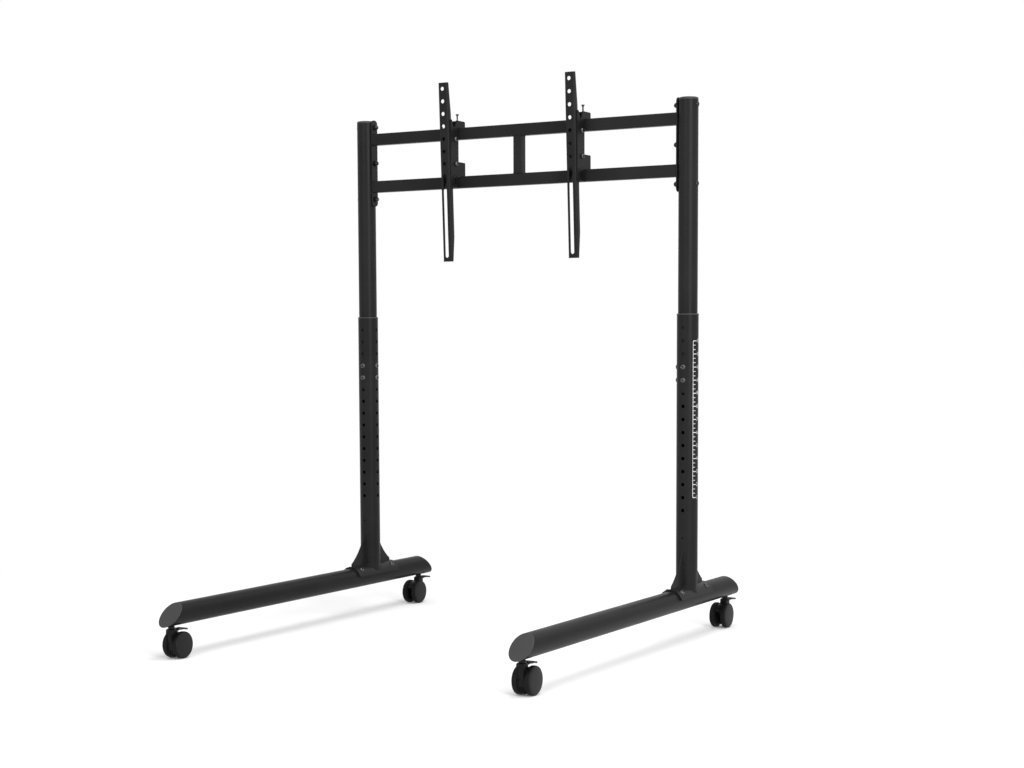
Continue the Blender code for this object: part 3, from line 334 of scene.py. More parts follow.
def makeGroup(name, inputs, outputs):
    # an input with a number takes numbers, the one with nothing takes a vector
    group = bpy.data.node_groups.new(name, "ShaderNodeTree")
    for label, value in inputs.items():
        kind = "NodeSocketVector" if value is None else "NodeSocketFloat"
        socket = group.interface.new_socket(name=label, in_out="INPUT", socket_type=kind)
        if value is not None:
            socket.default_value = value
    for label in outputs:
        group.interface.new_socket(name=label, in_out="OUTPUT", socket_type="NodeSocketFloat")
    return group, group.nodes.new("NodeGroupInput").outputs, group.nodes.new("NodeGroupOutput").inputs


def sendMask(group, first, second, given, result):
    both = mathNode(group, "MULTIPLY", first, second, True)
    group.links.new(mathNode(group, "MULTIPLY", both, given["Amount"], True), result["Mask"])


def grainGroup():
    # orange peel of sprayed powder, or the fine texture of a moulding, with a slow blotch over it
    group, given, result = makeGroup("coatGrain", {"Vector": None, "Grain Scale": 900.0, "Blotch Scale": 9.0},
                                     ["Height", "Blotch"])
    peel = noiseNode(group, given["Vector"], given["Grain Scale"], 2.5, 0.55)
    pitScale = mathNode(group, "MULTIPLY", given["Grain Scale"], 0.6)
    pits = addNode(group, "ShaderNodeTexVoronoi", {"Vector": given["Vector"], "Scale": pitScale},
                   feature="SMOOTH_F1")
    pitDepth = mathNode(group, "MULTIPLY", pits.outputs["Distance"], 0.35)
    blotch = noiseNode(group, given["Vector"], given["Blotch Scale"], 4.0)
    group.links.new(mathNode(group, "ADD", peel, pitDepth), result["Height"])
    group.links.new(rangeNode(group, blotch, 0.32, 0.68), result["Blotch"])
    return group


def edgeGroup():
    # lighter along convex edges, broken up by noise: partly rubbing wear, partly a painted highlight on the
    # edges
    group, given, result = makeGroup("edgeWearHighlight", {"Vector": None, "Reach": 0.0012, "Amount": 0.6}, ["Mask"])
    inside = addNode(group, "ShaderNodeAmbientOcclusion", {"Distance": given["Reach"]},
                     inside=True, only_local=True, samples=6)
    worn = rangeNode(group, inside.outputs["AO"], 0.86, 0.45)
    broken = rangeNode(group, noiseNode(group, given["Vector"], 60.0, 5.0), 0.35, 0.62, 0.25, 1.0)
    sendMask(group, worn, broken, given, result)
    return group


def dustGroup():
    # thin dust where a face looks up, and in specks
    group, given, result = makeGroup("settledDust", {"Vector": None, "Amount": 0.1}, ["Mask"])
    place = group.nodes.new("ShaderNodeNewGeometry")
    split = addNode(group, "ShaderNodeSeparateXYZ", {"Vector": place.outputs["Normal"]})
    upward = rangeNode(group, split.outputs["Z"], 0.35, 1.0)
    soft = rangeNode(group, noiseNode(group, given["Vector"], 38.0, 6.0), 0.3, 0.75)
    sendMask(group, upward, soft, given, result)
    return group


def hollowGroup():
    # 1 deep inside a hole, slot or channel, where little light gets in; finish() uses it to paint shade into
    # the colour there
    group, given, result = makeGroup("hollowShade", {"Reach": 0.018}, ["Mask"])
    around = addNode(group, "ShaderNodeAmbientOcclusion", {"Distance": given["Reach"]},
                     only_local=True, samples=6)
    group.links.new(rangeNode(group, around.outputs["AO"], 0.62, 0.28), result["Mask"])
    return group


grain, edgeWearHighlight, settledDust, hollowShade = grainGroup(), edgeGroup(), dustGroup(), hollowGroup()


def finish(name, look):
    # one coat: colour with blotches, rubbed edges that are partly a painted highlight, dust, painted shade in
    # hollows, uneven gloss and a fine bump
    material = bpy.data.materials.new(name)
    material.use_nodes = True
    tree = material.node_tree
    shader = tree.nodes["Principled BSDF"]
    shader.inputs["Metallic"].default_value = look.get("metal", 0.0)
    shader.inputs["Specular IOR Level"].default_value = look.get("specular", 0.5)
    where = tree.nodes.new("ShaderNodeTexCoord").outputs["Object"]

    def placed(group, inputs):
        return addNode(tree, "ShaderNodeGroup", inputs, node_tree=group).outputs

    def blended(factor, *pair):
        # sockets 6, 7 and output 2 are the mix node's colours
        first, second = [(*color, 1) if isinstance(color, tuple) else color for color in pair]
        inputs = {"Factor": factor, 6: first, 7: second}
        return addNode(tree, "ShaderNodeMix", inputs, data_type="RGBA").outputs[2]

    coat = placed(grain, {"Vector": where, "Grain Scale": look["grain"]})
    edgeWearHighlightMask = placed(edgeWearHighlight, {"Vector": where, "Amount": look["edgeWearHighlightAmount"]})["Mask"]
    dust = placed(settledDust, {"Vector": where, "Amount": look["dust"]})["Mask"]
    color = blended(coat["Blotch"], look["dark"], look["light"])
    # convex edges take the look's edge colour: partly rubbed wear, partly a painted highlight
    color = blended(edgeWearHighlightMask, color, look["edge"])
    color = blended(dust, color, look.get("dustColor", (0.1, 0.097, 0.094)))
    rough = rangeNode(tree, coat["Blotch"], 0, 1, *look["roughness"])
    rough = mathNode(tree, "SUBTRACT", rough, mathNode(tree, "MULTIPLY", edgeWearHighlightMask, 0.08), True)
    rough = mathNode(tree, "ADD", rough, mathNode(tree, "MULTIPLY", dust, 0.5), True)
    # painted shade: deep in holes, slots and channels the colour goes to near black, and the roughness rises
    # there too
    if "hollow" in look:
        shaded = placed(hollowShade, {"Reach": look["hollow"]})["Mask"]
        color = blended(shaded, color, (0.0006, 0.0006, 0.0006))
        rough = mathNode(tree, "ADD", rough, shaded, True)
    bump = addNode(tree, "ShaderNodeBump",
                   {"Strength": look["bump"], "Distance": 0.00006, "Height": coat["Height"]})
    for label, value in (("Base Color", color), ("Roughness", rough), ("Normal", bump.outputs["Normal"])):
        tree.links.new(value, shader.inputs[label])
    return material


# each look names a slot for its pieces; dress() looks it up but gives it to nothing
# a look's hollow reach sets where finish() paints shade into the colour; its edge colour marks worn convex
# edges and is partly a painted highlight
looks = {
    "powderCoat": {
        "slot": "powder_coat", "dark": (0.0125, 0.0124, 0.0127), "light": (0.017, 0.0169, 0.0172),
        "edge": (0.034, 0.034, 0.035), "specular": 0.08, "roughness": (0.34, 0.42), "grain": 900.0,
        "bump": 0.3, "edgeWearHighlightAmount": 0.3, "dust": 0.03, "hollow": 0.03},
    "legCoat": {
        "slot": "leg_coat", "dark": (0.0095, 0.0092, 0.0095), "light": (0.0135, 0.0131, 0.0135),
        "edge": (0.036, 0.036, 0.037), "specular": 0.055, "roughness": (0.3, 0.38), "grain": 800.0,
        "bump": 0.25, "edgeWearHighlightAmount": 0.3, "dust": 0.05},
    # painted shade: the same powder coat as powderCoat, made darker for the hook brackets
    "shadedBracketCoat": {
        "slot": "powder_coat", "dark": (0.0068, 0.0066, 0.0066), "light": (0.0098, 0.0096, 0.0096),
        "edge": (0.034, 0.033, 0.032), "specular": 0.09, "roughness": (0.4, 0.48), "grain": 950.0,
        "bump": 0.3, "edgeWearHighlightAmount": 0.5, "dust": 0.02, "hollow": 0.03},
    "capPlastic": {
        "slot": "black_plastic", "dark": (0.03, 0.029, 0.03), "light": (0.038, 0.037, 0.038),
        "edge": (0.055, 0.054, 0.055), "specular": 0.3, "roughness": (0.46, 0.56), "grain": 1600.0,
        "bump": 0.35, "edgeWearHighlightAmount": 0.25, "dust": 0.03},
    "hoodPlastic": {
        "slot": "black_plastic", "dark": (0.003, 0.0034, 0.0032), "light": (0.0048, 0.0054, 0.0051),
        "edge": (0.026, 0.027, 0.027), "specular": 0.12, "roughness": (0.32, 0.42), "grain": 1500.0,
        "bump": 0.3, "edgeWearHighlightAmount": 0.3, "dust": 0.02, "hollow": 0.016},
    "wheelPlastic": {
        "slot": "wheel_plastic", "dark": (0.01, 0.0098, 0.01), "light": (0.0145, 0.0142, 0.0145),
        "edge": (0.034, 0.034, 0.034), "specular": 0.12, "roughness": (0.4, 0.5), "grain": 1300.0,
        "bump": 0.3, "edgeWearHighlightAmount": 0.3, "dust": 0.04},
    "treadRubber": {
        "dark": (0.0034, 0.0035, 0.0035), "light": (0.0056, 0.0057, 0.0057), "edge": (0.014, 0.014, 0.014),
        "specular": 0.12, "roughness": (0.5, 0.6), "grain": 1100.0, "bump": 0.4, "edgeWearHighlightAmount": 0.2,
        "dust": 0.03, "dustColor": (0.045, 0.044, 0.043)},
    "pedalSteel": {
        "slot": "leg_coat", "dark": (0.003, 0.003, 0.0031), "light": (0.005, 0.005, 0.005),
        "edge": (0.06, 0.058, 0.055), "specular": 0.16, "roughness": (0.3, 0.4), "grain": 700.0,
        "bump": 0.2, "edgeWearHighlightAmount": 0.5, "dust": 0.02},
    "boltSteel": {
        "slot": "black_steel", "dark": (0.06, 0.06, 0.063), "light": (0.095, 0.095, 0.098),
        "edge": (0.34, 0.34, 0.34), "metal": 0.9, "roughness": (0.2, 0.3), "grain": 1500.0, "bump": 0.12,
        "edgeWearHighlightAmount": 0.6, "dust": 0.01},
    "nutSteel": {
        "slot": "black_steel", "dark": (0.02, 0.02, 0.021), "light": (0.034, 0.034, 0.035),
        "edge": (0.22, 0.22, 0.22), "metal": 0.9, "roughness": (0.2, 0.3), "grain": 1500.0, "bump": 0.12,
        "edgeWearHighlightAmount": 0.5, "dust": 0.01},
    "scalePrint": {
        "dark": (0.6, 0.6, 0.6), "light": (0.7, 0.7, 0.7), "edge": (0.72, 0.72, 0.72),
        "roughness": (0.5, 0.62), "grain": 2200.0, "bump": 0.1, "edgeWearHighlightAmount": 0.0, "dust": 0.0},
}
coats = {name: finish(name, look) for name, look in looks.items()}
print("finishes ready")


def dress(piece, name, body, coat, *nodes, slot=None):
    piece.name = name
    piece.data.name = name
    piece.data.materials.clear()
    piece.data.materials.append(coats[coat])
    for face in piece.data.polygons:
        face.material_index = 0
    # large faces lead the shading, so flats stay flat beside their soft edges
    even = piece.modifiers.new("even", "WEIGHTED_NORMAL")
    even.keep_sharp = True
    applyAll(piece)
    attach(piece, body)
    slot = slot or looks[coat].get("slot")
    if nodes:
        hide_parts(*nodes)
    return piece


def dressPair(piece, name, body, coat, *nodes):
    # the piece is modelled on the right; its mirror image goes on the left
    twin = copyTo(piece, mirrorX)
    dress(piece, name + "_right", body, coat, *[node + "_right" for node in nodes])
    dress(twin, name + "_left", body, coat, *[node + "_left" for node in nodes])


def buttonBolt(head, height, shank, length, socket):
    # modelled at the origin, head towards +Z, as the nuts are
    profile = ((0, 1), (0.54, 1), (0.67, 0.94), (0.8, 0.8), (0.92, 0.56), (0.985, 0.28), (1, 0.08), (0.97, 0))
    stations = [(across * head, up * height) for across, up in profile]
    piece = turnedPiece(stations + [(shank, 0), (shank, -length), (0, -length)])
    cut(piece, rod(socket, 0.35 * height, 2 * height, 6))
    return smooth(soften(piece, 0.00012, 1, 50), 40)


def domedNut(radius, height):
    base, far = 0.45 * height, 1.02 * radius
    piece = rod(radius, 0, base, 6)
    cut(piece, turnedPiece([(0, base + 0.001), (0.86 * radius, base + 0.001), (far, base - 0.0009),
                            (far, -0.001), (0, -0.001)]), "INTERSECT")
    dome = [(0, 0.5 * base), (0.8 * radius, 0.5 * base), (0.8 * radius, base)]
    for across, up in ((0.76, 0.35), (0.62, 0.68), (0.36, 0.92)):
        dome.append((across * radius, base + up * (height - base)))
    cut(piece, turnedPiece(dome + [(0, height)], 40), "UNION")
    return smooth(piece, 32)


def plainNut(radius, height):
    piece = rod(radius, 0, height, 6)
    near, far = 0.84 * radius, 1.02 * radius
    # turned a little, so that its ridges miss the corners
    rim = turnedPiece([(0, height + 0.001), (near, height + 0.001), (far, height - 0.0007), (far, 0.0007),
                       (near, -0.001), (0, -0.001)], place=Matrix.Rotation(radians(2.3), 4, "Z"))
    cut(piece, rim, "INTERSECT")
    return smooth(piece, 32)


def modelLegs():
    leg = {"front": -0.541, "back": 0.541, "blank": 1.3, "wall": 0.002, "cap": 0.0022, "rim": 0.0007}
    radius, slant = stand["tubeRadius"], sqrt(2)
    front, back = leg["front"] + radius, leg["back"] - radius
    frontSlope, backSlope = (0, 1, -1), (0, 1, 1)

    def slicedTube(cuts, filled):
        # the leg's cylinder, cut on the slant; each cut drops the front or the back part
        bpy.ops.mesh.primitive_cylinder_add(vertices=96, radius=radius, depth=leg["blank"],
                                            rotation=(pi / 2, 0, 0), location=(columnX, 0, axisZ),
                                            end_fill_type="NGON" if filled else "NOTHING")
        piece = settle(bpy.context.object)
        openMesh(piece)
        for y, slope, dropFront in cuts:
            pickAll()
            bpy.ops.mesh.bisect(plane_co=(columnX, y, axisZ), plane_no=slope, use_fill=filled,
                                clear_inner=dropFront, clear_outer=not dropFront)
        closeMesh()
        return piece

    inset, skin = (leg["cap"] + seatGap) * slant, leg["cap"] * slant
    tube = slicedTube([(front + inset, frontSlope, True), (back - inset, backSlope, False)], False)
    thicken(tube, leg["wall"])
    soften(tube, 0.0004, 2, 50)
    dressPair(smooth(tube), "legTube", "legs", "legCoat", "base_tube")

    for name, node, cuts in (
            ("frontEnd", "front_cap", ((front, frontSlope, True), (front + skin, frontSlope, False))),
            ("backEnd", "back_cap", ((back, backSlope, False), (back - skin, backSlope, True)))):
        cap = soften(slicedTube(cuts, True), leg["rim"], 3, 30)
        dressPair(smooth(cap, 30), name, "legs", "capPlastic", node)


modelLegs()
print("leg tubes ready")


def modelLowerColumn():
    column = {"saddleInner": 0.0253, "saddleOuter": 0.0293, "saddleHalf": 0.09, "saddleLow": 0.0051,
              "corner": 0.008, "wall": 0.0022, "top": 0.654, "rows": 15, "filled": (3, 4),
              "drill": (0.015, 0.035), "drain": 0.141,
              "gussetLength": 0.06, "gussetHeight": 0.078, "gussetThick": 0.004, "hollow": 0.39,
              "boltOffset": 0.068, "boltAngle": radians(42), "weld": 0.0028, "bead": 0.0013}
    outer, inner = column["saddleOuter"], column["saddleInner"]
    lying = columnPlace @ Matrix.Rotation(pi / 2, 4, "X")

    # saddle: a half shell trimmed by a block whose lower corners are rounded
    saddle = pipe(outer, outer - inner, -0.1, 0.1, lying)
    half, low = column["saddleHalf"], axisZ + column["saddleLow"]
    trim = blockBetween((columnX - 0.04, columnY - half, low), (columnX + 0.04, columnY + half, axisZ + 0.05))
    openMesh(trim)
    pickEdges(trim, lambda edge: all(abs(v.co.z - low) < 1e-5 for v in edge.verts)
              and abs(edge.verts[0].co.y - edge.verts[1].co.y) < 1e-5)
    bpy.ops.mesh.bevel(offset=column["corner"], segments=8, affect="EDGES")
    closeMesh()
    cut(saddle, trim, "INTERSECT")
    dressPair(smooth(soften(saddle, 0.0007)), "saddle", "legs", "powderCoat")

    # drilled tube, coped to sit on the saddle's bore
    radius, wall, top = stand["tubeRadius"], column["wall"], column["top"]
    tube = pipe(radius, wall, 0.01, top, columnPlace)
    cut(tube, rod(inner + 0.0002, -0.05, 0.05, 96, lying))
    towardsFront, inwards = (0, -1, 0), (-1, 0, 0)
    rows = [axisZ + stand["lowestHole"] + row * stand["holePitch"] for row in range(column["rows"])]
    filled = [rows[column["rows"] - 1 - row] for row in column["filled"]]
    drills = [rod(boltHole, *column["drill"], 28, facing(direction, (columnX, columnY, height)))
              for height in rows if height not in filled for direction in (towardsFront, inwards)]
    drain = (columnX, columnY, axisZ + column["drain"])
    drills.append(rod(0.002, *column["drill"], 20, facing(towardsFront, drain)))
    cut(tube, joined(drills))
    dressPair(smooth(tube, 40), "lowerTube", "legs", "powderCoat", "lower_column")

    # gussets with a hollow edge, their toes a little blunt
    start = radius - 0.0005
    length, height, hollow = column["gussetLength"], column["gussetHeight"], column["hollow"]
    toe, head = (start + length, outer + 0.006), (radius + 0.0015, outer + height)
    pull = (start + hollow * length, outer + hollow * height)
    thick = column["gussetThick"] / 2
    fins, beads = [], []
    for sign in (-1, 1):
        outline = [(start, outer - 0.0015), (start + length, outer - 0.0015)]
        for step in range(25):
            share = step / 24
            keep = 1 - share
            outline.append(tuple(keep * keep * toe[i] + 2 * keep * share * pull[i] + share * share * head[i]
                                 for i in (0, 1)))
        outline.append((start, outer + height))
        placed = [(columnY + sign * y, axisZ + z) for y, z in outline]
        fins.append(soften(plateFrom(placed, columnX - thick, columnX + thick), 0.0007, 2, 45))
        for side in (-1, 1):
            x = columnX + side * (thick + 0.0004)
            for ends in (((0.0004, 0.004), (0.0004, 0.07)), ((0.004, -0.0002), (0.055, -0.0002))):
                first, last = [(x, columnY + sign * (radius + y), axisZ + outer + z) for y, z in ends]
                beads.append(weldLine(first, last, column["bead"]))
    for fin, name in zip(fins, ("gussetFront", "gussetBack")):
        dressPair(smooth(fin, 32), name, "legs", "powderCoat")

    # weld round the column's foot: a ring bent to the saddle, with ripples
    bpy.ops.mesh.primitive_torus_add(major_segments=144, minor_segments=10, major_radius=radius,
                                     minor_radius=column["weld"] * 0.85)
    ring = bpy.context.object
    openMesh(ring)
    shape = bmesh.from_edit_mesh(ring.data)
    for point in shape.verts:
        around = atan2(point.co.y, point.co.x)
        across = radius * cos(around)
        ripple = 1 + 0.1 * sin(48 * around)
        beadMiddle = Vector((across, radius * sin(around), 0))
        point.co = beadMiddle + (point.co - beadMiddle) * ripple
        point.co.z += sqrt(outer * outer - across * across)
    bmesh.update_edit_mesh(ring.data)
    closeMesh()
    settle(ring, columnPlace)
    dressPair(smooth(joined([ring] + beads), 60), "footWeld", "legs", "powderCoat")

    # bolts of the saddle; those in the height holes end short of the sliding tube
    places = []
    for y in (-column["boltOffset"], column["boltOffset"]):
        for angle in (-column["boltAngle"], column["boltAngle"]):
            outward = Vector((sin(angle), 0, cos(angle)))
            places.append(facing(outward, Vector((columnX, columnY + y, axisZ)) + outward * (outer - 0.0012)))
    bolts = repeated(buttonBolt(0.0065, 0.0042, 0.004, 0.006, 0.0027), places)
    dressPair(bolts, "saddleBolts", "legs", "boltSteel")
    places = [facing(direction, Vector((columnX, columnY, height)) + Vector(direction) * (radius - 0.001))
              for height in filled for direction in (towardsFront, inwards)]
    bolts = repeated(buttonBolt(0.0065, 0.0042, 0.004, 0.0011, 0.0027), places)
    dressPair(bolts, "heightBolts", "legs", "boltSteel")

    # collar on the tube's mouth
    mouth, lip = radius - wall, radius + 0.0009
    section = [(mouth, 0), (lip - 0.0005, 0), (lip, 0.0005), (lip, 0.0012), (lip - 0.0006, 0.0024),
               (lip - 0.0013, 0.003), (mouth + 0.0002, 0.003)]
    ring = turnedPiece(lifted(section, top + seatGap), 96, columnPlace, True)
    dressPair(smooth(ring, 30), "mouthRing", "legs", "capPlastic", "collar")


modelLowerColumn()
print("lower columns ready")


def modelScale():
    # height scale on the right column's outer side: plain ticks and numbers
    scale = {"first": 1, "last": 13, "heading": radians(-14), "tick": (0.0095, 0.0018),
             "minor": (0.006, 0.0014), "digits": 0.0088, "rule": 0.0012, "lift": 0.00004, "thick": 0.00012,
             "ruleAt": -0.0093, "ticksAt": -0.0086, "digitsAt": 0.0018}
    first, last, pitch = scale["first"], scale["last"], stand["holePitch"]
    radius = stand["tubeRadius"] + scale["lift"]
    marks = []

    def addMark(piece, around, height):
        # bends a flat mark round the tube
        openMesh(piece)
        pickAll()
        bpy.ops.mesh.quads_convert_to_tris()
        bpy.ops.mesh.subdivide(number_cuts=3)
        shape = bmesh.from_edit_mesh(piece.data)
        for point in shape.verts:
            angle = scale["heading"] + (point.co.x + around) / radius
            point.co = (columnX + radius * cos(angle), columnY + radius * sin(angle),
                        axisZ + height + point.co.y)
        bmesh.update_edit_mesh(piece.data)
        pickAll()
        bpy.ops.mesh.remove_doubles(threshold=0.00001)
        closeMesh()
        marks.append(thicken(piece, scale["thick"], 1))

    def flatMark(wide, tall, x=0):
        bpy.ops.mesh.primitive_plane_add(size=1)
        piece = bpy.context.object
        piece.scale = (wide, tall, 1)
        piece.location = (x, 0, 0)
        return settle(piece)

    # one rule joins the ticks
    addMark(flatMark(scale["rule"], (last - first) * pitch), scale["ruleAt"],
            stand["lowestHole"] + (first + last) / 2 * pitch)
    for number in range(first, last + 1):
        height = stand["lowestHole"] + number * pitch
        for offset, (wide, tall) in ((0, scale["tick"]), (0.01, scale["minor"]), (0.02, scale["minor"])):
            if number < last or not offset:
                addMark(flatMark(wide, tall, wide / 2), scale["ticksAt"], height + offset)
        bpy.ops.object.text_add()
        digits = bpy.context.object
        digits.data.body = str(number)
        digits.data.size = scale["digits"] * 1.4
        digits.data.align_x = "LEFT"
        digits.data.align_y = "CENTER"
        pickOnly(digits)
        bpy.ops.object.convert(target="MESH")
        addMark(bpy.context.object, scale["digitsAt"], height)
    dress(smooth(joined(marks), 30), "heightScale", "legs", "scalePrint")


modelScale()
print("height scale ready")


def modelUpperColumn():
    slide = {"radius": 0.0225, "wall": 0.002, "low": 0.475, "high": 1.1405, "dome": 0.007, "edge": 0.003,
             "spigot": 0.0202, "plate": (0.0228, 0.0258), "plateDepth": 0.025, "plateHeight": 0.2135,
             "corner": 0.01, "centre": 1.0414, "pitch": 0.089, "throughLow": -0.0496, "shankLow": -0.009}
    radius, crown, edge, spigot = slide["radius"], slide["dome"], slide["edge"], slide["spigot"]
    tube = pipe(radius, slide["wall"], slide["low"], slide["high"], columnPlace)
    dressPair(smooth(soften(tube, 0.0003, 1, 50)), "slidingTube", "upper_frame", "powderCoat", "upper_tube")

    dome = [(0, crown), (0.55 * radius, crown - 0.0005)]
    for step in range(8, -1, -1):
        bend = radians(90 * step / 9)
        dome.append((radius - edge * (1 - cos(bend)), crown - 0.0012 - edge * (1 - sin(bend))))
    dome += [(radius, 0.0004), (radius - 0.0004, 0), (spigot, 0), (spigot, -0.0048), (0, -0.0048)]
    cap = turnedPiece(dome, 96, shift(columnX, columnY, axisZ + slide["high"] + seatGap))
    dressPair(smooth(cap, 30), "domeCap", "upper_frame", "capPlastic", "top_cap")

    near, far = slide["plate"]
    heights = [slide["centre"] + step * slide["pitch"] for step in (1, 0, -1)]
    outline = roundedBox(slide["plateDepth"], slide["plateHeight"], slide["corner"], 10,
                         (columnY, axisZ + slide["centre"]))
    plate = plateFrom(outline, columnX - far, columnX - near)
    cut(plate, joined([rod(boltHole, 0.015, 0.035, 28, facing((-1, 0, 0), (columnX, columnY, axisZ + height)))
                       for height in heights]))
    dressPair(smooth(soften(plate, 0.0007, 2, 45), 32), "endPlate", "upper_frame", "powderCoat", "end_plate")

    # domed nuts on the end plate; the outer two bolts run through from low heads outside
    bolt = buttonBolt(0.0064, 0.0019, 0.004, 0.003, 0.0025)
    nut = domedNut(0.0072, 0.01)
    shank, through = [rod(0.004, low, 0.001, 24) for low in (slide["shankLow"], slide["throughLow"])]
    for name, height in zip(("top", "middle", "bottom"), heights):
        seat = facing((-1, 0, 0), (columnX - far - seatGap, columnY, axisZ + height))
        parts = [copyTo(nut, seat)]
        if name == "middle":
            parts.append(copyTo(shank, seat))
        else:
            outside = (columnX + radius + seatGap, columnY, axisZ + height)
            parts += [copyTo(bolt, facing((1, 0, 0), outside)), copyTo(through, seat)]
        dressPair(smooth(joined(parts), 36), "plateBolt_" + name, "upper_frame", "nutSteel",
                  "plate_bolt_" + name)
    discard(bolt, nut, shank, through)


modelUpperColumn()
print("sliding tubes ready")


def modelCrossFrame():
    bars = {"half": 0.4164, "depth": 0.02, "height": 0.0285, "corner": 0.003, "wall": 0.0015,
            "post": 0.0245, "weld": 0.0016}
    half, corner, wall, radius = bars["half"], bars["corner"], bars["wall"], bars["weld"]
    frontY, backY = columnY - bars["depth"] / 2, columnY + bars["depth"] / 2

    def boxTube(sizeA, sizeB, low, high, axis, center):
        # rounded box section, hollow, drawn along its length
        tube = plateFrom(roundedBox(sizeA, sizeB, corner, 6, center), low, high, axis)
        bore = roundedBox(sizeA - 2 * wall, sizeB - 2 * wall, corner - wall, 4, center)
        cut(tube, plateFrom(bore, low - 0.01, high + 0.01, axis))
        return smooth(soften(tube, 0.0002, 1, 60), 30)

    lows = (stand["upperBarLow"], stand["lowerBarLow"])
    for low, name, node in zip(lows, ("upperBar", "lowerBar"), ("upper_crossbar", "lower_crossbar")):
        center = (columnY, axisZ + low + bars["height"] / 2)
        bar = boxTube(bars["depth"], bars["height"], -half, half, "X", center)
        dress(bar, name, "upper_frame", "powderCoat", node)
    low = axisZ + stand["lowerBarLow"] + bars["height"] + seatGap
    high = axisZ + stand["upperBarLow"] - seatGap
    side = bars["post"] / 2
    post = boxTube(bars["post"], bars["depth"], low, high, "Z", (0, columnY))
    dress(post, "middlePost", "upper_frame", "powderCoat", "center_post")

    # beads where the post meets the bars and the bars meet the end plates
    beads = []
    for z in (low - 0.0002, high + 0.0002):
        beads += [weldLine((x, frontY + 0.0025, z), (x, backY - 0.0025, z), radius) for x in (-side, side)]
        beads += [weldLine((-side + 0.002, y, z), (side - 0.002, y, z), radius * 0.7)
                  for y in (frontY + 0.0002, backY - 0.0002)]
    dress(smooth(joined(beads), 60), "postWelds", "upper_frame", "powderCoat")
    beads, x = [], half + 0.0001
    for low in lows:
        bottom, top = axisZ + low, axisZ + low + bars["height"]
        beads += [weldLine((x, y, bottom + 0.003), (x, y, top - 0.003), radius) for y in (frontY, backY)]
        beads += [weldLine((x, frontY + 0.003, z), (x, backY - 0.003, z), radius) for z in (bottom, top)]
    dressPair(smooth(joined(beads), 60), "barWelds", "upper_frame", "powderCoat")


modelCrossFrame()
print("cross frame ready")


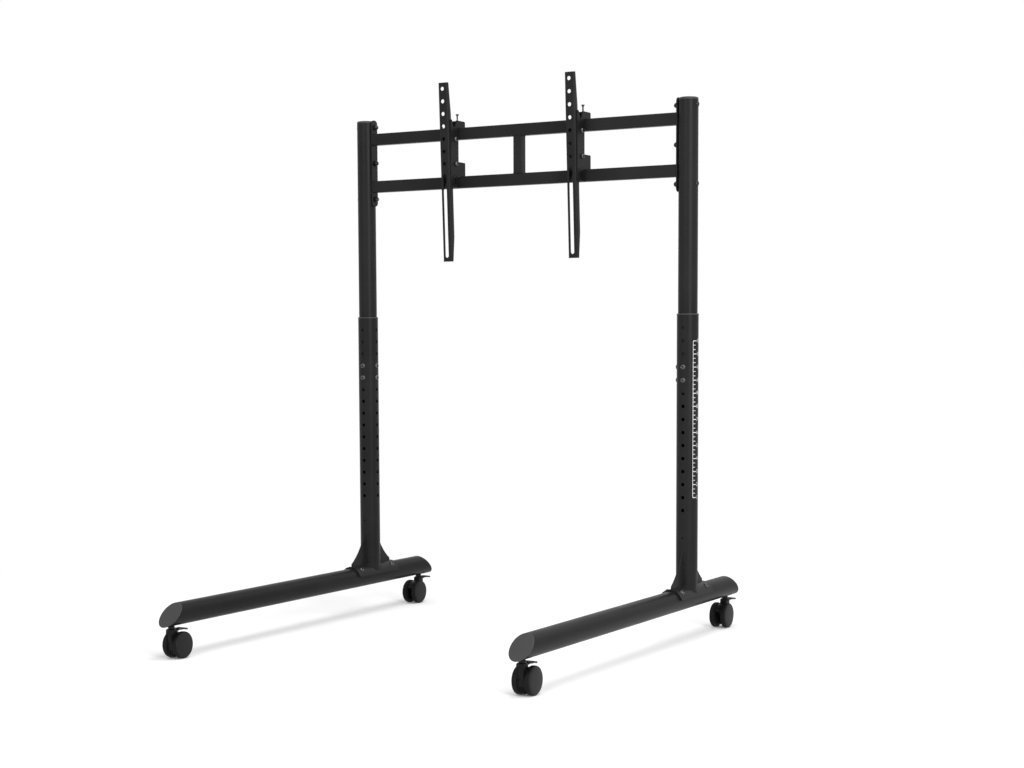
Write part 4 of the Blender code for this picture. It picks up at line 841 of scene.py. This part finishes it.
def modelArms():
    # modelled at x = 0 and copied to each side
    arm = {"places": {"left": -0.1805, "right": 0.165}, "width": 0.026, "wall": 0.0025, "bend": 0.0045,
           "length": 0.4285, "top": 0.134, "holeEdge": 0.0115, "hole": 0.0048, "pitch": 0.0298, "holes": 7,
           "firstHole": 0.0145, "slotEnd": 0.0095, "flange": 0.014, "tip": 0.0065, "topTaper": 0.075,
           "bottomTaper": 0.06, "lug": 0.036, "lugTop": 0.014, "leftFlange": 0.0095, "leftLug": 0.027,
           "leftLow": 0.102, "tilt": radians(2.5), "face": 0.0265, "pivotZ": 1.085, "pivotY": 0.242,
           "drop": 0.059}
    left, front, drop = -arm["holeEdge"], -arm["face"], arm["drop"]
    right = left + arm["width"]
    top, bottom = arm["top"], arm["top"] - arm["length"]

    # channel section drawn up its length
    bend, wall, tip = arm["bend"], arm["wall"], front + arm["tip"]
    rightBend, leftBend = (right - bend, front + bend), (left + bend, front + bend)
    section = arcPoints(rightBend, bend, -pi / 2, 0, 8)
    section += [(right, front + arm["lug"]), (right - wall, front + arm["lug"])]
    section += arcPoints(rightBend, bend - wall, 0, -pi / 2, 8)
    section += arcPoints(leftBend, bend - wall, -pi / 2, -pi, 8)
    section += [(left + wall, front + arm["leftLug"]), (left, front + arm["leftLug"])]
    section += arcPoints(leftBend, bend, -pi, -pi / 2, 8)
    channel = plateFrom(section, bottom, top, "Z")

    # each flange is trimmed back above and below its lug
    lugTop = arm["lugTop"]
    for flange, lug, lugBottom, sideX in ((arm["flange"], arm["lug"], -drop - 0.012, right),
                                          (arm["leftFlange"], arm["leftLug"], -arm["leftLow"], left)):
        depth, back = front + flange, front + lug
        far = back + 0.01
        upper = [(tip, top + 0.005), (tip, top), (depth, top - arm["topTaper"]), (depth, lugTop + 0.02)]
        upper += arcPoints((back - 0.006, lugTop - 0.006), 0.006, radians(60), radians(20), 4)
        upper += [(back + 0.0001, lugTop - 0.008), (far, lugTop - 0.008), (far, top + 0.005)]
        lower = [(far, lugBottom + 0.008), (back + 0.0001, lugBottom + 0.008)]
        lower += arcPoints((back - 0.006, lugBottom + 0.006), 0.006, radians(-20), radians(-60), 4)
        lower += [(depth, lugBottom - 0.02), (depth, bottom + arm["bottomTaper"]), (tip, bottom),
                  (tip, bottom - 0.005), (far, bottom - 0.005)]
        for outline in (upper, lower):
            cut(channel, plateFrom(outline, sideX - 0.0045, sideX + 0.0045))

    first, near, far = top - arm["firstHole"], front - 0.004, front + 0.006
    drills = [rod(arm["hole"], near, far, 32, facing((0, 1, 0), (0, 0, first - row * arm["pitch"])))
              for row in range(arm["holes"])]
    slotTop, slotLow = first - arm["holes"] * arm["pitch"], bottom + arm["slotEnd"] + arm["hole"]
    drills.append(plateFrom(slotPoints((0, slotLow), (0, slotTop), arm["hole"], 14), near, far, "Y"))
    for fall in (0, drop):
        drills.append(rod(boltHole, right - 0.006, right + 0.003, 28, facing((1, 0, 0), (0, 0, -fall))))
    cut(channel, joined(drills))
    smooth(soften(channel, 0.00045, 2, 50), 32)

    # hook bracket: one plate beside the arm's flange, hung over both bars
    plate = {"thick": 0.003, "front": -0.048, "wall": 0.0103, "waist": 0.0128, "corner": 0.0035,
             "reach": 0.0185, "notch": -0.0315, "notchTop": 0.011, "notchLow": 0.004, "notchDeep": 0.019,
             "lip": 0.02, "crest": 0.0165, "prong": 0.034, "tab": 0.0165, "tabFront": 0.012,
             "tabBack": 0.016, "screw": 0.011, "keeper": 0.98295, "slack": radians(3.75)}
    corner, reach, wall, waist = plate["corner"], plate["reach"], plate["wall"], plate["waist"]
    barTop, prongLow = stand["upperBarTop"], stand["lowerBarTop"] + seatGap
    high, low = barTop + plate["crest"], stand["lowerBarLow"] - 0.0005
    prongHigh, lipLow = stand["lowerBarTop"] + plate["prong"], barTop - plate["lip"]
    middle, rim, foot = plate["notch"], plate["notchTop"], plate["notchLow"]
    points = arcPoints((plate["front"] + corner, low + corner), corner, pi, 1.5 * pi, 5)
    points += [(-wall, low), (-wall, prongLow), (reach - 0.001, prongLow), (reach, prongLow + 0.001)]
    points += arcPoints((reach - corner, prongHigh - corner), corner, 0, pi / 2, 5)
    points += arcPoints((0.002 - waist, prongHigh + 0.002), 0.002, 1.5 * pi, pi, 4)
    points += [(-waist, stand["upperBarLow"] - 0.001), (-wall, stand["upperBarLow"] + corner),
               (-wall, barTop + seatGap), (wall, barTop + seatGap), (wall, lipLow + 0.001),
               (wall + 0.001, lipLow)]
    points += arcPoints((reach - 0.0025, lipLow + 0.0025), 0.0025, -pi / 2, 0, 4)
    points += arcPoints((reach - corner, high - corner), corner, 0, pi / 2, 5)
    points += [(middle + rim + 0.001, high), (middle + rim - 0.0006, high - 0.001)]
    points += arcPoints((middle, high - plate["notchDeep"] + foot), foot, radians(-15), radians(-165), 8)
    points += [(middle - rim + 0.0006, high - 0.001), (middle - rim - 0.001, high)]
    points += arcPoints((plate["front"] + 0.0018, high - 0.0018), 0.0018, pi / 2, pi, 3)
    face, thick = right + seatGap + plate["thick"], plate["thick"]
    hook = plateFrom([(columnY + y, axisZ + z) for y, z in points], face - thick, face)
    # at its top a tab is folded over to the left and down again onto the upper bar
    fold, ridge = face - thick - plate["tab"], axisZ + high - 0.00015
    foot = axisZ + barTop + seatGap
    folded = [(face - 0.0015, ridge)] + arcPoints((fold + 0.0028, ridge - 0.0028), 0.0028, pi / 2, pi, 6)
    folded += [(fold, foot), (fold + thick, foot)]
    folded += arcPoints((fold + thick + 0.0008, ridge - thick - 0.0008), 0.0008, pi, pi / 2, 3)
    folded.append((face - 0.0015, ridge - thick))
    lip = plateFrom(folded, columnY - plate["tabFront"], columnY + plate["tabBack"], "Y")
    cut(lip, rod(0.0023, -0.006, 0.006, 24, shift(face - plate["screw"], columnY, axisZ + high)))
    soften(lip, 0.0004, 2, 45)
    # the tilt slot is struck about the pivot
    pivotY, pivotZ = arm["pivotY"], axisZ + arm["pivotZ"]
    heading, slack = -pi / 2 + arm["tilt"] + radians(1.25), plate["slack"]
    curve = []
    for sign, start in ((1, heading + slack), (-1, heading - slack - pi)):
        curve += arcPoints((pivotY, pivotZ), drop + sign * boltHole, heading - sign * slack,
                           heading + sign * slack, 8)
        end = (pivotY + drop * cos(heading + sign * slack), pivotZ + drop * sin(heading + sign * slack))
        curve += arcPoints(end, boltHole, start, start + pi, 8)[1:-1]
    keeper = axisZ + plate["keeper"]
    keeperSlot = slotPoints((pivotY, keeper - 0.005), (pivotY, keeper + 0.005), 0.0042, 10)
    near, far = face - 0.006, face + 0.003
    cut(hook, joined([rod(boltHole, near, far, 28, facing((1, 0, 0), (0, pivotY, pivotZ))),
                      plateFrom(curve, near, far), plateFrom(keeperSlot, near, far)]))
    soften(hook, 0.0005, 2, 45)
    smooth(cut(hook, lip, "UNION"), 32)

    # pivot and tilt bolts with nuts behind the flange
    bolt, nut = buttonBolt(0.006, 0.0042, 0.004, 0.0112, 0.0026), plainNut(0.006, 0.0045)
    pair = joined([copyTo(bolt, facing((1, 0, 0), (face + seatGap, 0, 0))),
                   copyTo(nut, facing((-1, 0, 0), (right - arm["wall"] - seatGap, 0, 0)))])
    smooth(pair, 36)

    # levelling screw: threaded shank, flared head with a driver slot
    tip, headTop = barTop + seatGap, high + 0.0125 + 0.005
    thread = lifted([(0, 0), (0.0014, 0), (0.0019, 0.0006)], tip)
    height = tip + 0.0006
    while height < headTop - 0.0062:
        thread += lifted([(0.002, 0.0002), (0.00165, 0.00055), (0.002, 0.0009)], height)
        height += 0.0008
    thread += lifted([(0.002, -0.005), (0.0024, -0.0044), (0.0038, -0.0016), (0.0042, -0.0011),
                      (0.0042, -0.0003), (0.0039, 0), (0, 0)], headTop)
    screw = turnedPiece(thread, 32)
    cut(screw, blockBetween((-0.0005, -0.006, headTop - 0.0013), (0.0005, 0.006, headTop + 0.002)))
    smooth(settle(screw, shift(face - plate["screw"], columnY, axisZ)), 30)

    for side, x in arm["places"].items():
        pivot = shift(x, pivotY, pivotZ)
        tilted = pivot @ Matrix.Rotation(arm["tilt"], 4, "X")
        for piece, place, name, body, coat, node in (
                (channel, tilted, "arm_", "arm_", "powderCoat", "screen_arm_"),
                (hook, shift(x), "hook_", "bracket_", "shadedBracketCoat", "hook_bracket_"),
                (pair, pivot, "pivotBolt_", "bracket_", "boltSteel", "pivot_bolt_"),
                (pair, tilted @ shift(0, 0, -drop), "tiltBolt_", "arm_", "boltSteel", "tilt_bolt_"),
                (screw, shift(x), "screw_", "screw_", "boltSteel", "level_screw_")):
            dress(copyTo(piece, place), name + side, body + side, coat, node + side)
    discard(bolt, nut, channel, hook, pair, screw)


modelArms()
print("arms and brackets ready")


def modelCastors():
    # modelled at the origin with the wheels trailing towards +Y
    castor = {"frontY": -0.512, "backY": 0.495, "trail": 0.02, "wheel": 0.03, "inner": 0.00905,
              "width": 0.013, "crown": 0.0046, "axleBore": 0.0033, "boreDepth": 0.0081, "hoodHalf": 0.00875,
              "hood": 0.0265, "neckTop": 0.0674, "neck": 0.0105, "stemBore": 0.0053, "pinBore": 0.0019,
              "flangeTop": 0.0732, "chinFront": -0.0042, "chinBack": 0.0125, "chinLow": 0.0055,
              "pivotY": 0.015, "pivotDrop": 0.0028, "pedal": 0.028, "pedalHalf": 0.0115, "pedalThick": 0.0025}
    radius, trail, hoodHalf = castor["wheel"], castor["trail"], castor["hoodHalf"]
    flange, sideways = castor["flangeTop"], (1, 0, 0)
    alongAxle = facing(sideways, (0, trail, radius))

    # wheel: rounded tread running into a smooth domed face with a small hub button
    low, high, crown = castor["inner"], castor["inner"] + castor["width"], castor["crown"]
    stations = [(0, low), (0.006, low), (radius - 0.0012, low), (radius - 0.0003, low + 0.0005),
                (radius, low + 0.0016)]
    for step in range(10):
        bend = radians(84 * step / 9)
        stations.append((radius - crown * (1 - cos(bend)), high - 0.0012 - crown * (1 - sin(bend))))
    stations += [(share * radius, high - 0.0013 * share * share) for share in (0.8, 0.7, 0.58, 0.45, 0.32)]
    stations += [(share * radius, high - fall) for share, fall in (
        (0.265, 0.00012), (0.255, 0.0002), (0.235, 0.0002), (0.225, 0.0001), (0.12, 0), (0, 0))]
    wheel = turnedPiece(stations, 96, alongAxle)
    cut(wheel, rod(castor["axleBore"], low - 0.001, low + castor["boreDepth"], 32, alongAxle))
    smooth(wheel, 26)

    # hood between the wheels, with the neck and a chin
    center, neck, neckTop = (trail, radius), castor["neck"], castor["neckTop"]
    chinFront, chinBack, chinLow = castor["chinFront"], castor["chinBack"], castor["chinLow"]
    outline = arcPoints(center, castor["hood"], radians(25), radians(90), 14)
    outline += [(neck - 0.001, radius + castor["hood"] + 0.001), (neck - 0.002, neckTop - 0.001),
                (-neck + 0.002, neckTop - 0.001), (-neck + 0.001, radius + 0.018)]
    outline += arcPoints((0.5 * trail, radius), 0.016, radians(165), radians(205), 6)
    outline += [(chinFront, chinLow + 0.0025), (chinFront + 0.002, chinLow), (chinBack - 0.001, chinLow),
                (chinBack, chinLow + 0.001), (chinBack, radius - 0.0075)]
    outline += arcPoints(center, 0.007, radians(245), radians(345), 8)
    hood = plateFrom(outline, -hoodHalf, hoodHalf)
    for sides in ((-hoodHalf - 0.002, -hoodHalf + 0.001), (hoodHalf - 0.001, hoodHalf + 0.002)):
        # below the shield the chin is narrower and stays well clear of the wheels
        cut(hood, blockBetween((sides[0], -0.012, 0), (sides[1], 0.0145, 0.0225)))
    soften(hood, 0.0013, 3, 30)
    collar = [(0, -0.0072), (0.7 * neck, -0.0072), (0.95 * neck, -0.0056), (neck, -0.0046),
              (neck, -0.0008), (neck - 0.0008, 0), (0, 0)]
    cut(hood, turnedPiece(lifted(collar, neckTop), 64), "UNION")
    # ridges down both sides of the shield, slots in the chin
    ridge = [(-0.0103, 0.058), (-0.0112, 0.048), (-0.0078, 0.0345), (-0.0076, 0.029), (-0.0062, 0.0228),
             (-0.002, 0.0228), (-0.002, 0.058)]
    for x in (-0.0068, 0.0068):
        cut(hood, soften(plateFrom(ridge, x - 0.001, x + 0.001), 0.0004), "UNION")
    cut(hood, joined([blockBetween((x - 0.0011, -0.008, 0.009), (x + 0.0011, 0.0035, 0.0205))
                      for x in (-0.0044, 0, 0.0044)]))
    cut(hood, rod(castor["axleBore"], -0.01, 0.01, 32, alongAxle))
    pivotY, pivotZ = castor["pivotY"], neckTop - castor["pivotDrop"]
    lug = [(0.004, pivotZ - 0.002)] + arcPoints((pivotY, pivotZ), 0.0034, -pi / 2, pi / 2, 12)
    lug.append((0.004, pivotZ + 0.002))
    # the back castors trail the other way, with the pedal's lug on the same side as in front
    hoods = {}
    for turn, flip in ((1, Matrix()), (-1, mirrorY)):
        hoods[turn] = cut(copyTo(hood, flip), plateFrom(lug, -0.005, 0.005), "UNION")
        cut(hoods[turn], rod(castor["stemBore"], flange - 0.0218, neckTop + 0.001))
        cut(hoods[turn], rod(castor["pinBore"], -0.006, 0.006, 24, facing(sideways, (0, pivotY, pivotZ))))
        smooth(hoods[turn], 30)

    # pedal: pressed plate with a turned-down tip, ears, pin and grip ridges
    half, end, wide = castor["pedalThick"] / 2, castor["pedal"], castor["pedalHalf"]
    start = 0.0034 + seatGap
    side = [(start, -half), (end - 0.0065, -half), (end - 0.003, -half - 0.0012), (end, -half - 0.003),
            (end, half - 0.0022), (end - 0.0025, half - 0.0007), (end - 0.0055, half), (start, half)]
    pedal = plateFrom(side, -wide, wide)
    openMesh(pedal)
    pickEdges(pedal, lambda edge: all(v.co.y > end - 0.0001 or v.co.y < start + 0.0001 for v in edge.verts)
              and abs(edge.verts[0].co.x - edge.verts[1].co.x) < 1e-6
              and abs(edge.verts[0].co.z - edge.verts[1].co.z) > 0.0005)
    bpy.ops.mesh.bevel(offset=0.0024, segments=6, affect="EDGES")
    closeMesh()
    soften(pedal, 0.0003, 2, 50)
    for x in (-0.0063, 0.0063):
        ear = [(start + 0.003, 0.0002 - half), (start + 0.003, half - 0.0002)]
        ear += arcPoints((0, 0), 0.0028, pi / 2, 1.5 * pi, 10)
        cut(pedal, soften(plateFrom(ear, x - 0.0011, x + 0.0011), 0.0002, 2, 50), "UNION")
    for y in (end - 0.0085, end - 0.0115, end - 0.0145):
        grip = rod(0.0007, -wide + 0.003, wide - 0.003, 10, facing(sideways, (0, y, half - 0.0001)))
        cut(pedal, grip, "UNION")
    cut(pedal, rod(0.0016, -0.0072, 0.0072, 20, facing(sideways)), "UNION")
    smooth(settle(pedal, shift(0, pivotY, pivotZ)), 30)

    # stem with its flange, and thread up into the tube
    profile = [(0, -0.0215), (0.005, -0.0215), (0.005, -0.0056), (0.0068, -0.0055), (0.0075, -0.0049),
               (0.0075, -0.0006), (0.0069, 0), (0.005, 0), (0.005, 0.0143), (0, 0.0143)]
    stem = smooth(turnedPiece(lifted(profile, flange)), 30)

    for name, x, y, turn in (("front_left", -columnX, castor["frontY"], 1),
                             ("front_right", columnX, castor["frontY"], 1),
                             ("back_left", -columnX, castor["backY"], -1),
                             ("back_right", columnX, castor["backY"], -1)):
        place = shift(x, y)
        trailed = place if turn > 0 else place @ mirrorY
        dress(copyTo(hoods[turn], place), "hood_" + name, "swivel_" + name, "hoodPlastic",
              "caster_fork_" + name)
        for hand, mirrored in (("_right", Matrix()), ("_left", mirrorX)):
            disc = dress(copyTo(wheel, trailed @ mirrored), "tread_" + name + hand, "wheel_" + name + hand,
                         "wheelPlastic", "caster_wheel_" + name + hand)
            disc.data.materials.append(coats["treadRubber"])
            for face in disc.data.polygons:
                face.material_index = 1 if abs(face.normal.x) < 0.72 else 0
        dress(copyTo(pedal, place), "footPedal_" + name, "pedal_" + name, "pedalSteel", "brake_pedal_" + name)
        dress(copyTo(stem, place), "stem_" + name, "legs", "pedalSteel", "caster_stem_" + name,
              slot="black_steel")
        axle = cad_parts["caster_axle_" + name]
        axle.data.materials.clear()
        axle.data.materials.append(coats["boltSteel"])
    discard(wheel, hood, *hoods.values(), pedal, stem)


modelCastors()
print("castors ready")


def makeStudio():
    studio = {"worldLight": 0.62, "floorColor": 0.8, "floorGlow": 0.1, "floorDiffuse": 0.95,
              "floorFade": (0.9, 1.9), "aim": (0, 0, 0.65)}
    white = (1, 1, 1, 1)
    scene = bpy.context.scene
    scene.view_settings.view_transform = "Standard"

    def seenDirectly(tree):
        # 1 for what the camera, a reflection or glass sees straight on
        rays = tree.nodes.new("ShaderNodeLightPath").outputs
        seen = mathNode(tree, "ADD", rays["Is Camera Ray"], rays["Is Glossy Ray"])
        return mathNode(tree, "ADD", seen, rays["Is Transmission Ray"], True)

    def mixedShader(tree, factor, first, second):
        return addNode(tree, "ShaderNodeMixShader", {0: factor, 1: first, 2: second}).outputs[0]

    def matte(tree, brightness):
        return addNode(tree, "ShaderNodeBsdfDiffuse", {"Color": (*[brightness] * 3, 1)}).outputs[0]

    world = bpy.data.worlds.new("paleRoom")
    scene.world = world
    world.use_nodes = True
    tree = world.node_tree
    light = tree.nodes["Background"]
    light.inputs["Color"].default_value = white
    light.inputs["Strength"].default_value = studio["worldLight"]
    seen = addNode(tree, "ShaderNodeBackground", {"Color": white, "Strength": 1.0})
    room = mixedShader(tree, seenDirectly(tree), light.outputs[0], seen.outputs[0])
    tree.links.new(room, tree.nodes["World Output"].inputs["Surface"])

    bpy.ops.mesh.primitive_plane_add(size=60, location=(0, 0, -0.0002))
    floor = settle(bpy.context.object)
    floor.name = "studioFloor"
    material = bpy.data.materials.new("studioFloor")
    material.use_nodes = True
    tree = material.node_tree
    tree.nodes.clear()
    glow = addNode(tree, "ShaderNodeEmission", {"Strength": studio["floorGlow"]})
    lit = addNode(tree, "ShaderNodeAddShader", {0: matte(tree, studio["floorDiffuse"]), 1: glow.outputs[0]})
    near = mixedShader(tree, seenDirectly(tree), matte(tree, studio["floorColor"]), lit.outputs[0])
    # further out the floor runs into the white of the room
    where = tree.nodes.new("ShaderNodeTexCoord").outputs["Object"]
    middle = addNode(tree, "ShaderNodeVectorMath", {0: where}, operation="LENGTH")
    away = rangeNode(tree, middle.outputs["Value"], *studio["floorFade"])
    away = mathNode(tree, "MULTIPLY", away, seenDirectly(tree), True)
    faded = mixedShader(tree, away, near, tree.nodes.new("ShaderNodeEmission").outputs[0])
    addNode(tree, "ShaderNodeOutputMaterial", {"Surface": faded})
    floor.data.materials.append(material)

    # soft boxes, aimed at the middle of the stand
    for name, place, size, power in (("topLamp", (1.0, 0, 4.2), (2.4, 1.7), 60),
                                     ("keyLamp", (3.2, -1.9, 1.6), (0.9, 1.8), 78),
                                     ("frontLamp", (-0.3, -4.0, 2.4), (1.2, 2.2), 38),
                                     ("backLamp", (0.8, 3.2, 2.6), (2.6, 1.6), 7)):
        bpy.ops.object.light_add(type="AREA", location=place)
        lamp = bpy.context.object
        lamp.name = name
        lamp.data.shape = "RECTANGLE"
        lamp.data.size, lamp.data.size_y = size
        lamp.data.energy = power
        lamp.rotation_euler = (Vector(studio["aim"]) - Vector(place)).to_track_quat("-Z", "Y").to_euler()

    view = {"lens": 64.14, "azimuth": 29.91, "pitch": 4.88, "roll": -0.25, "shiftX": 0.0066, "shiftY": 0.1082}
    bpy.ops.object.camera_add()
    camera = bpy.context.object
    camera.name = "photoView"
    camera.data.lens = view["lens"]
    camera.data.sensor_width = 36
    camera.data.shift_x = view["shiftX"]
    camera.data.shift_y = view["shiftY"]
    camera.data.clip_end = 100
    camera.matrix_world = (shift(2.1766, -3.5898, 0.6994) @ Matrix.Rotation(radians(view["azimuth"]), 4, "Z")
                           @ Matrix.Rotation(radians(90 - view["pitch"]), 4, "X")
                           @ Matrix.Rotation(radians(view["roll"]), 4, "Z"))
    scene.camera = camera


makeStudio()
deselectAll()
print("studio ready")
